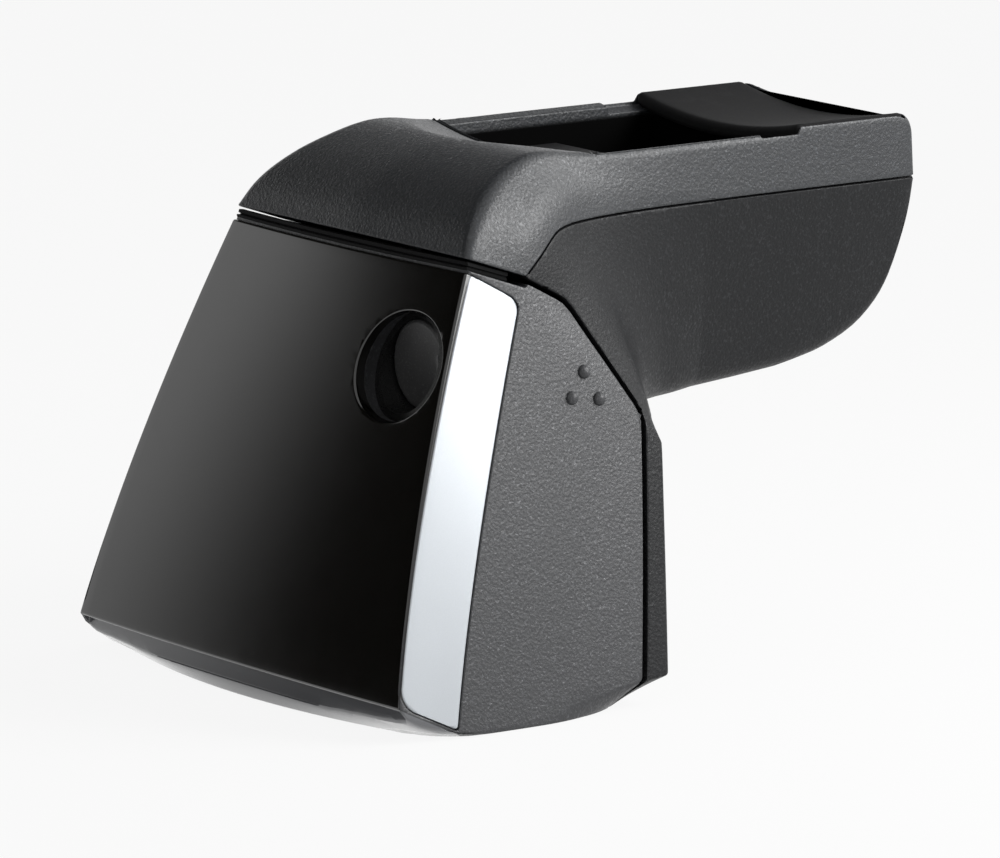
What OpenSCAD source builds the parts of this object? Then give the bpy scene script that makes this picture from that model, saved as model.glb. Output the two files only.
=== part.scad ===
// Roof bar foot: the tower that carries one end of a crossbar and clamps to a car's roof edge.
// Z = 0 is the base plane, X = 0 the plane of symmetry. The lockable cover faces -Y and the
// arm under the crossbar reaches to +Y.

/* [Tower] */
// Width of the base
base_w = 104; // [90:1:120]
// Depth of the base, from the panel's lower edge to the rear face
base_d = 56.6; // [52:0.1:60]
// Lean of the front panel from the vertical, degrees
panel_lean = 19.2; // [17:0.1:21]
// Width of the gloss panel at its lower edge
panel_w_low = 98.6; // [92:0.1:99]
// Width of the gloss panel at its upper edge
panel_w_top = 68.4; // [60:0.1:70]
// Height of the gloss panel, along its slope
panel_h = 75.6; // [70:0.1:78]
// Height of the panel's lower edge over the base
panel_z = 6.3; // [5:0.1:8]
// How far the front bulges at its middle
panel_crown = 1.3; // [0.5:0.1:2]
// Width of the bright strip in plan, across the flow of the side
strip_w = 11.2; // [8:0.1:13]
// Lean of the side walls from the vertical, degrees
side_lean = 12.3; // [10:0.1:14]
// Wall of the moulded shells
wall = 2.2; // [1.6:0.1:2.6]
// Thickness of the gloss panel
panel_t = 2; // [1.5:0.1:2.5]
// Thickness of the bright strips
trim_t = 1.6; // [1:0.1:2]

/* [Arm] */
// Reach of the arm, from the panel's lower edge
arm_reach = 131.2; // [120:0.1:140]
// Width of the arm at the saddle
arm_w = 50; // [46:0.1:54]
// Width of the arm's underside
arm_w_low = 40; // [34:0.1:44]
// Height of the arm's rim over the base
rim_z = 93.3; // [90:0.1:98]
// Height of the arm's underside over the base, at the column
arm_low_z = 47.6; // [46:0.1:52]
// Height of the part line between cap and housing, along the arm
part_z = 83.4; // [80:0.1:86]
// Radius of the saddle that the crossbar lies in
saddle_r = 110; // [80:1:140]

/* [Pocket] */
// Width of the bar clamp's pocket
pocket_w = 43; // [38:0.5:44]
// Front end of the pocket
pocket_y0 = 60.5; // [60:0.1:64]
// Rear end of the pocket, under the saddle pad's lip
pocket_y1 = 106.5; // [104:0.1:110]
// Height of the pocket's seat for the bar clamp
seat_z = 87.5; // [85:0.1:88.5]
// Length of that seat along the arm
seat_l = 24; // [20:0.5:28]
// Spacing of the two tapped holes in the seat
seat_hole_gap = 18; // [14:0.5:19]
// Bore of a tapped hole, tap drill size
tap_d = 5; // [4:0.1:6]

/* [Saddle pad] */
// Front edge of the pad
pad_y0 = 105.3; // [103:0.1:108]
// Thickness of the pad's lip
pad_t = 2.6; // [2:0.1:4]
// How far the pad stands over the rim
pad_proud = 1.5; // [0.5:0.1:2]

/* [Lock] */
// Distance of the lock from the middle
lock_x = 23.2; // [20:0.1:24]
// Height of the lock over the base
lock_z = 59.8; // [56:0.1:62]
// Diameter of the lock plug
plug_d = 16; // [14:0.1:17]
// Depth of the plug's face behind the panel
plug_recess = 4.7; // [3:0.1:6]
// Reach of the cam from the lock's axis
cam_l = 14; // [13:0.1:14.5]

/* [Clamp] */
// Lean of the clamp bolt towards the cover, degrees
bolt_lean = 20; // [18:0.5:22]
// Diameter of the clamp bolt
bolt_d = 8; // [6:0.5:8]
// Travel of the clip carrier along the bolt
carrier_travel = 12; // [8:0.5:13]
// Diameter of the pin that the roof clip hooks on
clip_pin_d = 6; // [5:0.1:6.5]
// Pitch of the clamp bolt's thread
bolt_pitch = 1.25; // [1:0.25:1.5]

/* [Chassis] */
// Thickness of the chassis base and of its cheeks
base_t = 5; // [4:0.5:6]
// Thickness of the cheeks that guide the clip carrier
cheek_t = 3.5; // [3.5:0.5:5]
// Clear width between the cheeks
guide_w = 24; // [22:0.5:25]
// Height of the arm plate's top, which is the pocket's floor
floor_z = 80; // [79:0.1:81]
// Diameter of the cover's hinge pins
hinge_pin_d = 3; // [2.5:0.1:3.5]
// Distance of the hinge from the panel's lower edge
hinge_y = 7.4; // [7:0.1:8]
// Height of the hinge over the base
hinge_z = 5; // [4.5:0.1:6]

/* [Hidden] */
$fn = 48;
tiny = 0.02;
// The drawing is made from the panel's lower edge; this puts the middle of the whole at Y = 0
mid_y = (arm_reach - panel_crown)/2;
module placed() {
    translate([0, -mid_y, 0])
        children();
}
// Clearances: running fits, loose pieces, the shadow gaps between the shells
run_gap = 0.05;
fit_gap = 0.15;
cover_gap = 0.9;
seal_gap = 2;
part_gap = 0.25;

// Points of the tower's faces. A point of the front is given by its place across, from -1 to 1,
// and its height along the slope.
lean_y = sin(panel_lean);
lean_z = cos(panel_lean);
function panel_half(v) = panel_w_low/2 + (panel_w_top - panel_w_low)/2*v/panel_h;
function front_pt(u, v, d = 0) = [
    u*(panel_half(v) - d),
    v*lean_y + d/lean_z - panel_crown*(1 - u*u),
    panel_z + v*lean_z];
// Half width of the side wall's plane at a height
side_half_0 = base_w/2 - 0.35;
function side_half(z, d = 0) = side_half_0 - tan(side_lean)*z - d/cos(side_lean);
// The edge between the strip and the side wall, level across the strip's lower end
strip_drop = panel_z - 0.7;
function edge_pt(s, v, d = 0) = let (
    y = v*lean_y + strip_w + d*0.4,
    z = panel_z - strip_drop + v*lean_z)
    [s*side_half(z, d), y, z];

// Side view of the parting lines, as points [y, z]
cover_top_v = panel_h + 0.2;
cap_low_v = cover_top_v + seal_gap - 0.2;
groove = [[45.5, 0], [51, 5.4], [58.1, 50.1], [45.1, 70.3], [37.6, 74.3]];
// A point of the plane square to the panel at a height v, at a distance back from the panel
function top_pt(v, back) = [v*lean_y + back*lean_z, panel_z + v*lean_z - back*lean_y];
cap_line = [top_pt(cap_low_v, -8), top_pt(cap_low_v, 13.2), [40.2, 78.9], [43.4, 81.6], [48.4, 83.5],
    [54, part_z + 0.4], [60, part_z + 0.2], [arm_reach + 10, part_z]];

// Points of an arc in a plane
function arc(c, r, a0, a1, n) = [for (i = [0:n]) c + r*[cos(a0 + (a1 - a0)*i/n), sin(a0 + (a1 - a0)*i/n)]];
// The same points on both sides of the middle
function both(points) = [for (p = points) for (s = [-1, 1]) [s*p[0], p[1], p[2]]];
// The convex body over some points
module wrap(points) {
    hull()
        polyhedron(points = points, faces = [[for (i = [0:len(points) - 1]) i]]);
}

// Half of the base ring's outline, in plan
function base_ring(d) = concat(
    [for (x = [0:6:30]) [x, 0.3 + d + x*x/1120]],
    arc([base_w/2 - 14, 16], 14 - d, -80, 0, 6),
    arc([base_w/2 - 14, 33], 14 - d, 0, 42, 3),
    arc([30, base_d - 8], 7 - d, 20, 90, 4));

// The tower as one convex body, its walls moved inwards by d and its front by its own amount
column_y = base_d + 5.9;
// The shells stop short of the base plane, so that the chassis carries the foot
skirt_z = 0.4;
function corner_pts(x, y, z, r) = [[x, y - r, z], [x - 0.3*r, y - 0.3*r, z], [x - r, y, z]];
function tower_pts(d, f) = concat(
    both([for (p = base_ring(d)) [p[0], p[1], skirt_z - (d > 0 ? 1.5 : 0)]]),
    [for (u = [-1:0.2:1]) for (v = [0, cap_low_v + 1]) front_pt(u, v, f)],
    [for (s = [-1, 1]) for (v = [0, cap_low_v - 1]) edge_pt(s, v, d)],
    both([[side_half(78) - 0.6 - d, 47, 78]]),
    both(corner_pts(side_half(5.4) - d, base_d - d, 6.2, 2)),
    both(corner_pts(side_half(50) - d, column_y - d, 50, 3)));
module tower_form(d = 0, front = -1) {
    wrap(tower_pts(d, front < 0 ? d : front));
}

// Cross-section of the arm: half width and height of its rim, half width at the part line,
// half width, height and corner radius of its underside
function arm_pts(a, d, y) = let (r = max(a[6], d + 0.5)) both([for (p = concat(
    arc([a[1] - 1.2 - d, a[2] - 1.2 - d], 1.2, 90, 0, 3),
    [[a[3] - d, part_z]],
    arc([a[4] - r, a[5] + r], r - d, 0, -90, 6))) [p[0], y, p[1]]]);

// [y, half_top, z_top, half_part, half_low, z_low, r_low]
half_w = arm_w/2;
half_u = arm_w_low/2;
pad_z = rim_z + pad_proud;
arm_stations = [
    [46, half_w + 0.6, rim_z + 1.3, half_w + 8.2, half_u + 22, 44.5, 0.6],
    [52, half_w, rim_z + 0.9, half_w + 6.3, half_u + 21.6, 45, 1],
    [57, half_w - 0.3, rim_z + 0.3, half_w + 4.3, half_u + 21, 45.6, 2],
    [61.5, half_w - 0.5, rim_z, half_w + 2.6, half_u + 17.5, 45.8, 7],
    [65.5, half_w - 0.5, rim_z, half_w + 1.6, half_u + 11, 45.9, 9],
    [70, half_w - 0.5, rim_z, half_w + 0.9, half_u + 5.5, 46.2, 9],
    [77, half_w - 0.5, rim_z, half_w + 0.4, half_u + 1.8, arm_low_z - 0.8, 9],
    [86, half_w - 0.5, rim_z, half_w + 0.2, half_u + 0.6, arm_low_z, 9],
    [96, half_w - 0.5, rim_z, half_w, half_u, arm_low_z + 0.9, 9],
    [pad_y0 - 0.4, half_w - 0.5, rim_z, half_w, half_u, arm_low_z + 2, 9],
    [pad_y0 + 0.4, half_w - 0.5, pad_z, half_w, half_u, arm_low_z + 2.1, 9],
    [arm_reach - 16, half_w - 0.5, pad_z, half_w, half_u, arm_low_z + 4, 9],
    [arm_reach - 9.5, half_w - 0.5, pad_z, half_w, half_u + 0.2, arm_low_z + 6.6, 9],
    [arm_reach - 5.4, half_w - 0.5, pad_z, half_w, half_u + 0.6, arm_low_z + 9.9, 8],
    [arm_reach - 3, half_w - 0.5, pad_z, half_w, half_u + 1.4, arm_low_z + 14.4, 7],
    [arm_reach - 1.1, half_w - 0.7, pad_z - 0.8, half_w - 0.1, half_u + 2.6, arm_low_z + 22, 5],
    [arm_reach, half_w - 1.1, pad_z - 3.2, half_w - 0.5, half_u + 4.2, arm_low_z + 34, 1.5]];

module arm_form(d = 0) {
    n = len(arm_stations);
    for (i = [0:n - 2]) {
        a = arm_stations[i];
        b = arm_stations[i + 1];
        wrap(concat(arm_pts(a, d, a[0]), arm_pts(b, d, b[0] - (i == n - 2 ? d : 0))));
    }
}

// The forehead: lines across the tower, [y, z, half width], over the arm's root
brow = [[27.7, 84.3, 32.4], [32.4, 88.6, 29.9], [38.3, 92.3, 27.4], [44, 94.3, 25.8], [50, 94.7, 25]];
module brow_form(d = 0) {
    wrap(concat(
        [for (s = [-1, 1]) front_pt(1.035*s, cap_low_v - 1.5, d)],
        [for (s = [-1, 1]) edge_pt(s, cap_low_v - 4, d)],
        both([[side_half(78) - 0.6 - d, 47, 78], [half_w + 6.3 - d, 52, part_z]]),
        [for (u = [-0.6:0.3:0.6]) front_pt(u, cap_low_v + 0.5, d)],
        both([for (b = brow) [b[2] - 1 - d, b[0] + d*0.5, b[1] - d]]),
        both([for (b = brow) [b[2] - d, b[0] + 0.5 + d*0.5, b[1] - 0.8 - d]])));
}

// The whole outer body, and what is hollowed out of its top
module outer_form(d = 0) {
    tower_form(d);
    arm_form(d);
    brow_form(d);
}
// Height of the pad's surface over the middle of the saddle
saddle_low = pad_z - half_w*half_w/(2*saddle_r);
// The saddle's hollow in the cap: level over the pocket, and a ramp that runs it out at the brow
module saddle_cut() {
    axis_z = saddle_low - pad_proud + saddle_r;
    translate([0, pocket_y0 - 1, axis_z])
        rotate([-90, 0, 0])
            cylinder(r = saddle_r, h = arm_reach, $fn = 360);
    translate([0, pocket_y0 - 0.8, axis_z])
        rotate([62, 0, 0])
            cylinder(r = saddle_r, h = 24, $fn = 360);
}

// Regions of the side view, drawn through the whole width
module side_region(points) {
    rotate([90, 0, 90])
        linear_extrude(2*base_w, center = true)
            polygon(points);
}
module cover_region() {
    side_region(concat(groove, [top_pt(cover_top_v, 12.6), top_pt(cover_top_v, -8),
        [-20, 60], [-20, -5], [45.5, -5]]));
}
// What lies under a plane square to the panel
module under_plane(v) {
    side_region([top_pt(v, 60), top_pt(v, -8), [-20, 60], [-20, -5], [90, -5]]);
}
// The same, wider by the shadow gap, which is taken out of the housing
module cover_room() {
    g = cover_gap;
    side_region([[45.5 + 1.2*g, -5], [45.5 + 1.2*g, 0], [51 + g, 5.2], [58.1 + 1.1*g, 50.3],
        [45.1 + 0.8*g, 70.3 + g], [37.6, 74.3 + g], top_pt(cap_low_v, 12.6), top_pt(cap_low_v, -8),
        [-20, 60], [-20, -5]]);
}
module cap_region(lift = 0) {
    side_region(concat([for (p = cap_line) p + [0, lift]], [[arm_reach + 10, 110], [0, 110]]));
}

// A round bar across the part, between two places on X
module bar_x(x0, x1, y, z, r) {
    translate([x0, y, z])
        rotate([0, 90, 0])
            cylinder(r = r, h = x1 - x0);
}
// A round bar along Y
module bar_y(x, z, y0, y1, r) {
    translate([x, y0, z])
        rotate([-90, 0, 0])
            cylinder(r = r, h = y1 - y0);
}
// A round bar along Z
module bar_z(x, y, z0, z1, r) {
    translate([x, y, z0])
        cylinder(r = r, h = z1 - z0);
}
// The clamp bolt's own frame: its axis is Z, and its foot is over the slot in the base
bolt_foot = [0, 46, 12];
module bolt_frame() {
    translate(bolt_foot)
        rotate([bolt_lean, 0, 0])
            children();
}
// The panel's own frame: X across, Y up its slope, Z outwards
module panel_frame() {
    translate([0, 0, panel_z])
        rotate([90 - panel_lean, 0, 0])
            children();
}

// Screws that hold the housing's lugs to the chassis
screw_x = 30;
screw_y = 46.5;
lug_w = 12;
lug_h = 7;
// Screws that hold the cap's bosses to the arm plate
cap_screw_x = 13;
cap_screw_y = 115;
screw_r = 1.5;
screw_head_r = 2.8;
screw_head_h = 1.8;

module rear_housing() {
    color("#2c2d2e") placed()
        difference() {
            union() {
                difference() {
                    outer_form();
                    cap_region(-part_gap);
                    cover_room();
                    outer_form(wall);
                    translate([-base_w/2 + 14, 20, -1])
                        cube([base_w - 28, base_d - wall - 22, 9]);
                }
                // Lugs that stand on the chassis and take the screws
                intersection() {
                    for (s = [-1, 1])
                        translate([s*screw_x - lug_w/2, screw_y - 5, base_t])
                            cube([lug_w, 30, lug_h]);
                    tower_form(0.4);
                }
            }
            for (s = [-1, 1])
                bar_z(s*screw_x, screw_y, 0, base_t + lug_h - 1, screw_r);
        }
}

module top_cap() {
    color("#3d3f41") placed()
        difference() {
            intersection() {
                outer_form();
                cap_region();
            }
            saddle_cut();
            difference() {
                outer_form(wall);
                // Walls of the pocket, which stand on the arm plate
                translate([-pocket_w/2 - wall, pocket_y0 - wall, floor_z])
                    cube([pocket_w + 2*wall, pocket_y1 - pocket_y0 + 2*wall, 30]);
                // Deck under the saddle pad, and its bosses
                translate([-half_w, pocket_y1, saddle_low - pad_t - 3])
                    cube([arm_w, 40, 20]);
                for (s = [-1, 1])
                    bar_z(s*cap_screw_x, cap_screw_y, floor_z, floor_z + 12, 4);
            }
            translate([-pocket_w/2, pocket_y0, floor_z - 20])
                cube([pocket_w, pocket_y1 - pocket_y0, 50]);
            pad_room();
            for (s = [-1, 1])
                bar_z(s*cap_screw_x, cap_screw_y, floor_z - 1, floor_z + 7, screw_r);
        }
}

// The seat of the saddle pad: open to the pocket, with a thin rim of the cap beside it
pad_w = arm_w - 2.6;
module pad_room() {
    intersection() {
        translate([-pad_w/2 - fit_gap, pad_y0 - 8, floor_z])
            cube([pad_w + 2*fit_gap, arm_reach - pad_y0 + 6 + fit_gap, 40]);
        translate([0, 0, saddle_low - pad_t + saddle_r])
            rotate([-90, 0, 0])
                cylinder(r = saddle_r, h = 2*arm_reach, $fn = 360);
    }
}

module saddle_pad() {
    color("#28282a") placed()
        difference() {
            intersection() {
                translate([-pad_w/2, pad_y0, floor_z])
                    cube([pad_w, arm_reach - 2 - pad_y0, 40]);
                translate([0, 0, saddle_low - pad_t + saddle_r])
                    rotate([-90, 0, 0])
                        cylinder(r = saddle_r, h = 2*arm_reach, $fn = 360);
            }
            translate([0, -1, saddle_low + saddle_r])
                rotate([-90, 0, 0])
                    cylinder(r = saddle_r, h = 2*arm_reach + 2, $fn = 360);
        }
}

// Places along the bolt's axis, from its foot up: carrier, collar, cross wall, washer, head
carrier_t0 = 2;
carrier_h = 12;
wall_t0 = carrier_t0 + carrier_h + carrier_travel + 5;
wall_h = 6;
collar_h = 2.2;
washer_h = 1.6;
head_t0 = wall_t0 + wall_h + washer_h + run_gap;
bush_r = bolt_d/2 + 1.6;
clip_pin_y = -(bolt_d + clip_pin_d)/2 - 1.5;
clip_pin_t = 1;

cheek_x = guide_w/2;
plate_half = pocket_w/2 - 0.2;
plate_h = 2.3;
chassis_end = arm_reach - 9;
cheek_side = [[24, 0.2], [24.5, 30], [27, 41], [32, 45.5], [36.8, 47], [36.8, 57], [48.6, 67], [48.6, floor_z - 1],
    [chassis_end, floor_z - 1], [chassis_end, 72], [chassis_end - 8, 60], [66, 55.5], [58.6, 47],
    [base_d - wall - 1.4, 4], [50, 0.2]];
// The base frame reaches back to the housing's rear wall, so that the foot stands by itself
base_rear = base_d - wall - 1.3;
lug_places = [[14, 21.5], [30.5, 38]];
lug_r = hinge_pin_d/2 + 1.4;
knuckle = [22, 30];

module chassis() {
    color("#8d9094") placed()
        difference() {
            union() {
                // Base frame, open at the front for the roof clip
                linear_extrude(base_t)
                    polygon([[-40, 15], [-guide_w/2, 15], [-guide_w/2, 48], [guide_w/2, 48],
                        [guide_w/2, 15], [40, 15], [40, 36], [34, 46.5], [33.2, 50],
                        [29.5, base_rear], [-29.5, base_rear], [-33.2, 50], [-34, 46.5], [-40, 36]]);
                // Hinge lugs
                for (s = [-1, 1]) {
                    for (l = lug_places) {
                        x0 = s > 0 ? l[0] : -l[1];
                        bar_x(x0, x0 + 7.5, hinge_y, hinge_z, lug_r);
                        translate([x0, hinge_y, hinge_z - lug_r])
                            cube([7.5, 12, base_t - hinge_z + lug_r]);
                    }
                    // Cheeks
                    translate([s*(cheek_x + cheek_t/2), 0, 0])
                        rotate([90, 0, 90])
                            linear_extrude(cheek_t, center = true)
                                polygon(cheek_side);
                }
                // Cross wall that carries the clamp bolt
                bolt_frame()
                    translate([-cheek_x - 1, -8, wall_t0])
                        cube([guide_w + 2, 16, wall_h]);
                // Arm plate with the raised seat, and its end wall
                translate([-plate_half, 46, floor_z - plate_h])
                    cube([2*plate_half, chassis_end - 45.8, plate_h]);
                translate([-plate_half, pocket_y0 + 0.4, floor_z - 1])
                    cube([2*plate_half, seat_l, seat_z - floor_z + 1]);
                translate([-cheek_x - 1, chassis_end - 4.3, 66])
                    cube([guide_w + 2, 4, floor_z - 67.5]);
            }
            bolt_frame()
                translate([0, 0, wall_t0 - 1])
                    cylinder(r = bush_r, h = wall_h + 2);
            // Tapped holes of the bar clamp, and the room under them
            for (s = [-1, 1])
                bar_z(s*seat_hole_gap/2, seat_hole_y, floor_z - 10, seat_z + 1, tap_d/2);
            // Holes for the screws of housing, cap and keeper
            for (s = [-1, 1]) {
                bar_z(s*screw_x, screw_y, -1, base_t + 1, screw_r + 0.2);
                bar_z(s*screw_x, screw_y, -1, screw_head_h + 0.4, screw_head_r + 0.3);
                bar_z(s*cap_screw_x, cap_screw_y, 60, floor_z + 1, screw_r + 0.2);
                bar_z(s*cap_screw_x, cap_screw_y, 50, floor_z - plate_h, screw_head_r + 0.3);
            }
            bar_x(cheek_x - 1, cheek_x + cheek_t + 1, keeper_screw[0], keeper_screw[1], screw_r);
            // Pins of the hinge
            for (s = [-1, 1])
                bar_x(s*26 - 14, s*26 + 14, hinge_y, hinge_z, hinge_pin_d/2);
            // Lightening holes of the arm
            for (y = [78, 96])
                bar_x(-30, 30, y, 66.8, 7);
        }
}
seat_hole_y = pocket_y0 + 0.4 + seat_l/2;

module housing_screws() {
    color("#b9bcc0") placed()
        for (s = [-1, 1]) {
            bar_z(s*screw_x, screw_y, 0.4, screw_head_h + 0.4, screw_head_r);
            bar_z(s*screw_x, screw_y, screw_head_h, base_t + lug_h - 2, screw_r);
        }
}
module cap_screws() {
    head_z = floor_z - plate_h;
    color("#b9bcc0") placed()
        for (s = [-1, 1]) {
            bar_z(s*cap_screw_x, cap_screw_y, head_z - screw_head_h, head_z, screw_head_r);
            bar_z(s*cap_screw_x, cap_screw_y, head_z - 1, floor_z + 6, screw_r);
        }
}
module hinge_pins() {
    color("#c9ccd0") placed()
        for (s = [-1, 1])
            bar_x(s*26 - 12, s*26 + 12, hinge_y, hinge_z, hinge_pin_d/2);
}

// The keeper behind which the lock's cam turns: an angle on the right-hand cheek
cam_t = 2.5;
sleeve_y1 = 32.6;
cam_y0 = sleeve_y1 + 0.5;
keeper_t = 2.4;
keeper_y1 = cam_y0 - 0.4;
keeper_screw = [42, 41.5];
keeper_top = lock_z - cam_l + 3.3;
module lock_keeper() {
    x0 = cheek_x + cheek_t;
    color("#a8abb0") placed()
        difference() {
            union() {
                translate([x0, keeper_y1 - keeper_t, 39])
                    cube([lock_x + 5 - x0, keeper_t, keeper_top - 39]);
                translate([x0, keeper_y1 - keeper_t, 39])
                    cube([keeper_t, 46.5 - keeper_y1 + keeper_t, 5.3]);
            }
            bar_x(x0 - 1, x0 + 4, keeper_screw[0], keeper_screw[1], screw_r + 0.2);
        }
}
module keeper_screws() {
    x0 = cheek_x + cheek_t;
    color("#b9bcc0") placed() {
        bar_x(x0 + keeper_t, x0 + keeper_t + screw_head_h, keeper_screw[0], keeper_screw[1],
            screw_head_r - 0.3);
        bar_x(cheek_x + 0.3, x0 + keeper_t + 0.5, keeper_screw[0], keeper_screw[1], screw_r);
    }
}

module bolt_bush() {
    color("#b08d4f") placed()
        bolt_frame()
            translate([0, 0, wall_t0])
                difference() {
                    cylinder(r = bush_r, h = wall_h);
                    translate([0, 0, -1])
                        cylinder(r = bolt_d/2 + run_gap, h = wall_h + 2);
                }
}
module bolt_washer() {
    color("#c9ccd0") placed()
        bolt_frame()
            translate([0, 0, wall_t0 + wall_h])
                difference() {
                    cylinder(r = bolt_d + 0.5, h = washer_h);
                    translate([0, 0, -1])
                        cylinder(r = bolt_d/2 + run_gap, h = washer_h + 2);
                }
}
module clamp_bolt() {
    color("#b9bcc0") placed()
        bolt_frame()
            difference() {
                union() {
                    translate([0, 0, carrier_t0 - 0.8])
                        cylinder(r = bolt_d/2, h = head_t0 - carrier_t0 + 1);
                    translate([0, 0, head_t0])
                        cylinder(r = bolt_d - 0.5, h = 1.4);
                    translate([0, 0, head_t0])
                        cylinder(r = 6.5/cos(30), h = 8, $fn = 6);
                }
                translate([0, 0, head_t0 + 3.5])
                    cylinder(r = 3/cos(30), h = 6, $fn = 6);
            }
}
module bolt_collar() {
    color("#8a8d92") placed()
        bolt_frame()
            translate([0, 0, wall_t0 - collar_h - 0.2])
                difference() {
                    cylinder(r = bolt_d/2 + 2.4, h = collar_h);
                    translate([0, 0, -1])
                        cylinder(r = bolt_d/2, h = collar_h + 2);
                }
}
carrier_gap = 0.3;
module clip_carrier() {
    half = guide_w/2 - carrier_gap;
    color("#6f7276") placed()
        bolt_frame()
            difference() {
                union() {
                    translate([-half, -6.5, carrier_t0])
                        cube([2*half, 13.5, carrier_h]);
                    for (s = [-1, 1])
                        translate([s*(half - 2.2) - 2.2, clip_pin_y - clip_pin_d/2 - 1.6, -2.8])
                            cube([4.4, clip_pin_d + 6, clip_pin_d + 2.8]);
                }
                cylinder(r = bolt_d/2 + run_gap, h = 2*carrier_h, center = true);
                translate([0, 0, carrier_t0 + 2])
                    cylinder(r = bolt_d/2 + run_gap, h = 2*carrier_h);
                bar_x(-half - 1, half + 1, clip_pin_y, clip_pin_t, clip_pin_d/2);
            }
}
module clip_pin() {
    half = guide_w/2 - carrier_gap;
    color("#c9ccd0") placed()
        bolt_frame()
            bar_x(-half, half, clip_pin_y, clip_pin_t, clip_pin_d/2);
}

// The panel's outline in its own frame, cut square to the front
module panel_prism(gap) {
    panel_frame()
        translate([0, 0, -14])
            linear_extrude(28)
                polygon([[-panel_half(0) - gap, -gap], [panel_half(0) + gap, -gap],
                    [panel_half(panel_h) + gap, panel_h + gap],
                    [-panel_half(panel_h) - gap, panel_h + gap]]);
}
module panel_room(t, gap) {
    difference() {
        panel_prism(gap);
        tower_form(t, t);
    }
}
// The lock's mouth: an oval in the panel that narrows to the sleeve's bore
mouth_w = 22;
mouth_h = 19;
sleeve_t = 1.3;
lock_front = (lock_z - panel_z)*tan(panel_lean);
plug_y0 = lock_front - 0.8 + plug_recess;
module lock_mouth() {
    hull() {
        bar_y(lock_x, lock_z, lock_front - 7, lock_front + 4, plug_d/2 + 0.3);
        translate([lock_x, lock_front - 3, lock_z])
            rotate([90, 0, 0])
                scale([mouth_w/mouth_h, 1, 1])
                    cylinder(r = mouth_h/2, h = 4, $fn = 48);
    }
    bar_y(lock_x, lock_z, lock_front - 7, lock_front + 12, plug_d/2 + 0.3);
}
module gloss_panel() {
    color("#141310") placed()
        difference() {
            intersection() {
                tower_form();
                panel_room(panel_t, -0.08);
            }
            lock_mouth();
        }
}

// A strip's plate: the facet between the panel's edge and the side wall, with a thickness
function unit(v) = v/norm(v);
module strip_plate(s, t, grow) {
    p0 = front_pt(s, 0.6);
    p1 = front_pt(s, panel_h - 0.2);
    e0 = edge_pt(s, 0.4);
    e1 = edge_pt(s, cover_top_v + strip_drop - 6.2);
    across = unit(e0 - p0);
    up = unit(p1 - p0);
    n = s*unit(cross(across, up));
    m = 0.35 - grow;
    hull()
        for (w = [0.001 + max(grow, 0)*3, -t])
            for (c = [p0 + m*across + m*up, p1 + m*across - m*up, e0 - m*across + m*up,
                e1 - m*across - m*up])
                translate(c + n*w)
                    cube(tiny, center = true);
}
module trim_left() {
    color("#c3c8cc") placed()
        difference() {
            strip_plate(-1, trim_t, 0);
            panel_prism(0.1);
        }
}
module trim_right() {
    color("#c3c8cc") placed()
        difference() {
            strip_plate(1, trim_t, 0);
            panel_prism(0.1);
        }
}

sleeve_r = plug_d/2 + run_gap + sleeve_t;
boss_r = sleeve_r + 2.6;
boss_y1 = 27.4;
nut_h = 2.4;
nut_r = sleeve_r + 1.6;
bump_places = [[47.1, 58.1], [43.7, 54.1], [49.5, 53.3]];
module cover_shell() {
    front_t = panel_t + 2;
    color("#4a4c4f") placed()
        difference() {
            union() {
                difference() {
                    intersection() {
                        tower_form();
                        cover_region();
                    }
                    intersection() {
                        tower_form(wall, front_t);
                        under_plane(cover_top_v - wall);
                    }
                }
                // Boss of the lock, hinge knuckles
                difference() {
                    bar_y(lock_x, lock_z, lock_front - 6, boss_y1, boss_r);
                    translate([0, -20 + panel_t/lean_z, 0])
                        panel_frame()
                            translate([-60, -60, -20*lean_z])
                                cube([120, 200, 60]);
                }
                for (s = [-1, 1]) {
                    x0 = s > 0 ? knuckle[0] : -knuckle[1];
                    w = knuckle[1] - knuckle[0];
                    bar_x(x0, x0 + w, hinge_y, hinge_z, lug_r);
                    translate([x0, 2.2, hinge_z])
                        cube([w, hinge_y + lug_r - 2.2, 7]);
                }
                // Three bumps on each side
                for (s = [-1, 1])
                    for (b = bump_places)
                        translate([s*(side_half(b[1]) - 0.1), b[0], b[1]])
                            sphere(r = 1.2, $fn = 20);
            }
            panel_room(panel_t + 0.1, 0.12);
            for (s = [-1, 1]) {
                strip_plate(s, trim_t + 0.1, 0.12);
                bar_x(s*26 - 5, s*26 + 5, hinge_y, hinge_z, hinge_pin_d/2 + run_gap);
            }
            bar_y(lock_x, lock_z, lock_front - 12, boss_y1 + 5, sleeve_r + 0.02);
        }
}

module cover_seal() {
    color("#1c1c1d") placed()
        intersection() {
            tower_form(0.7);
            side_region([top_pt(cover_top_v, 0.6), top_pt(cover_top_v, 9), top_pt(cover_top_v + 1.1, 9),
                top_pt(cover_top_v + 1.1, 0.6)]);
        }
}

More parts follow.
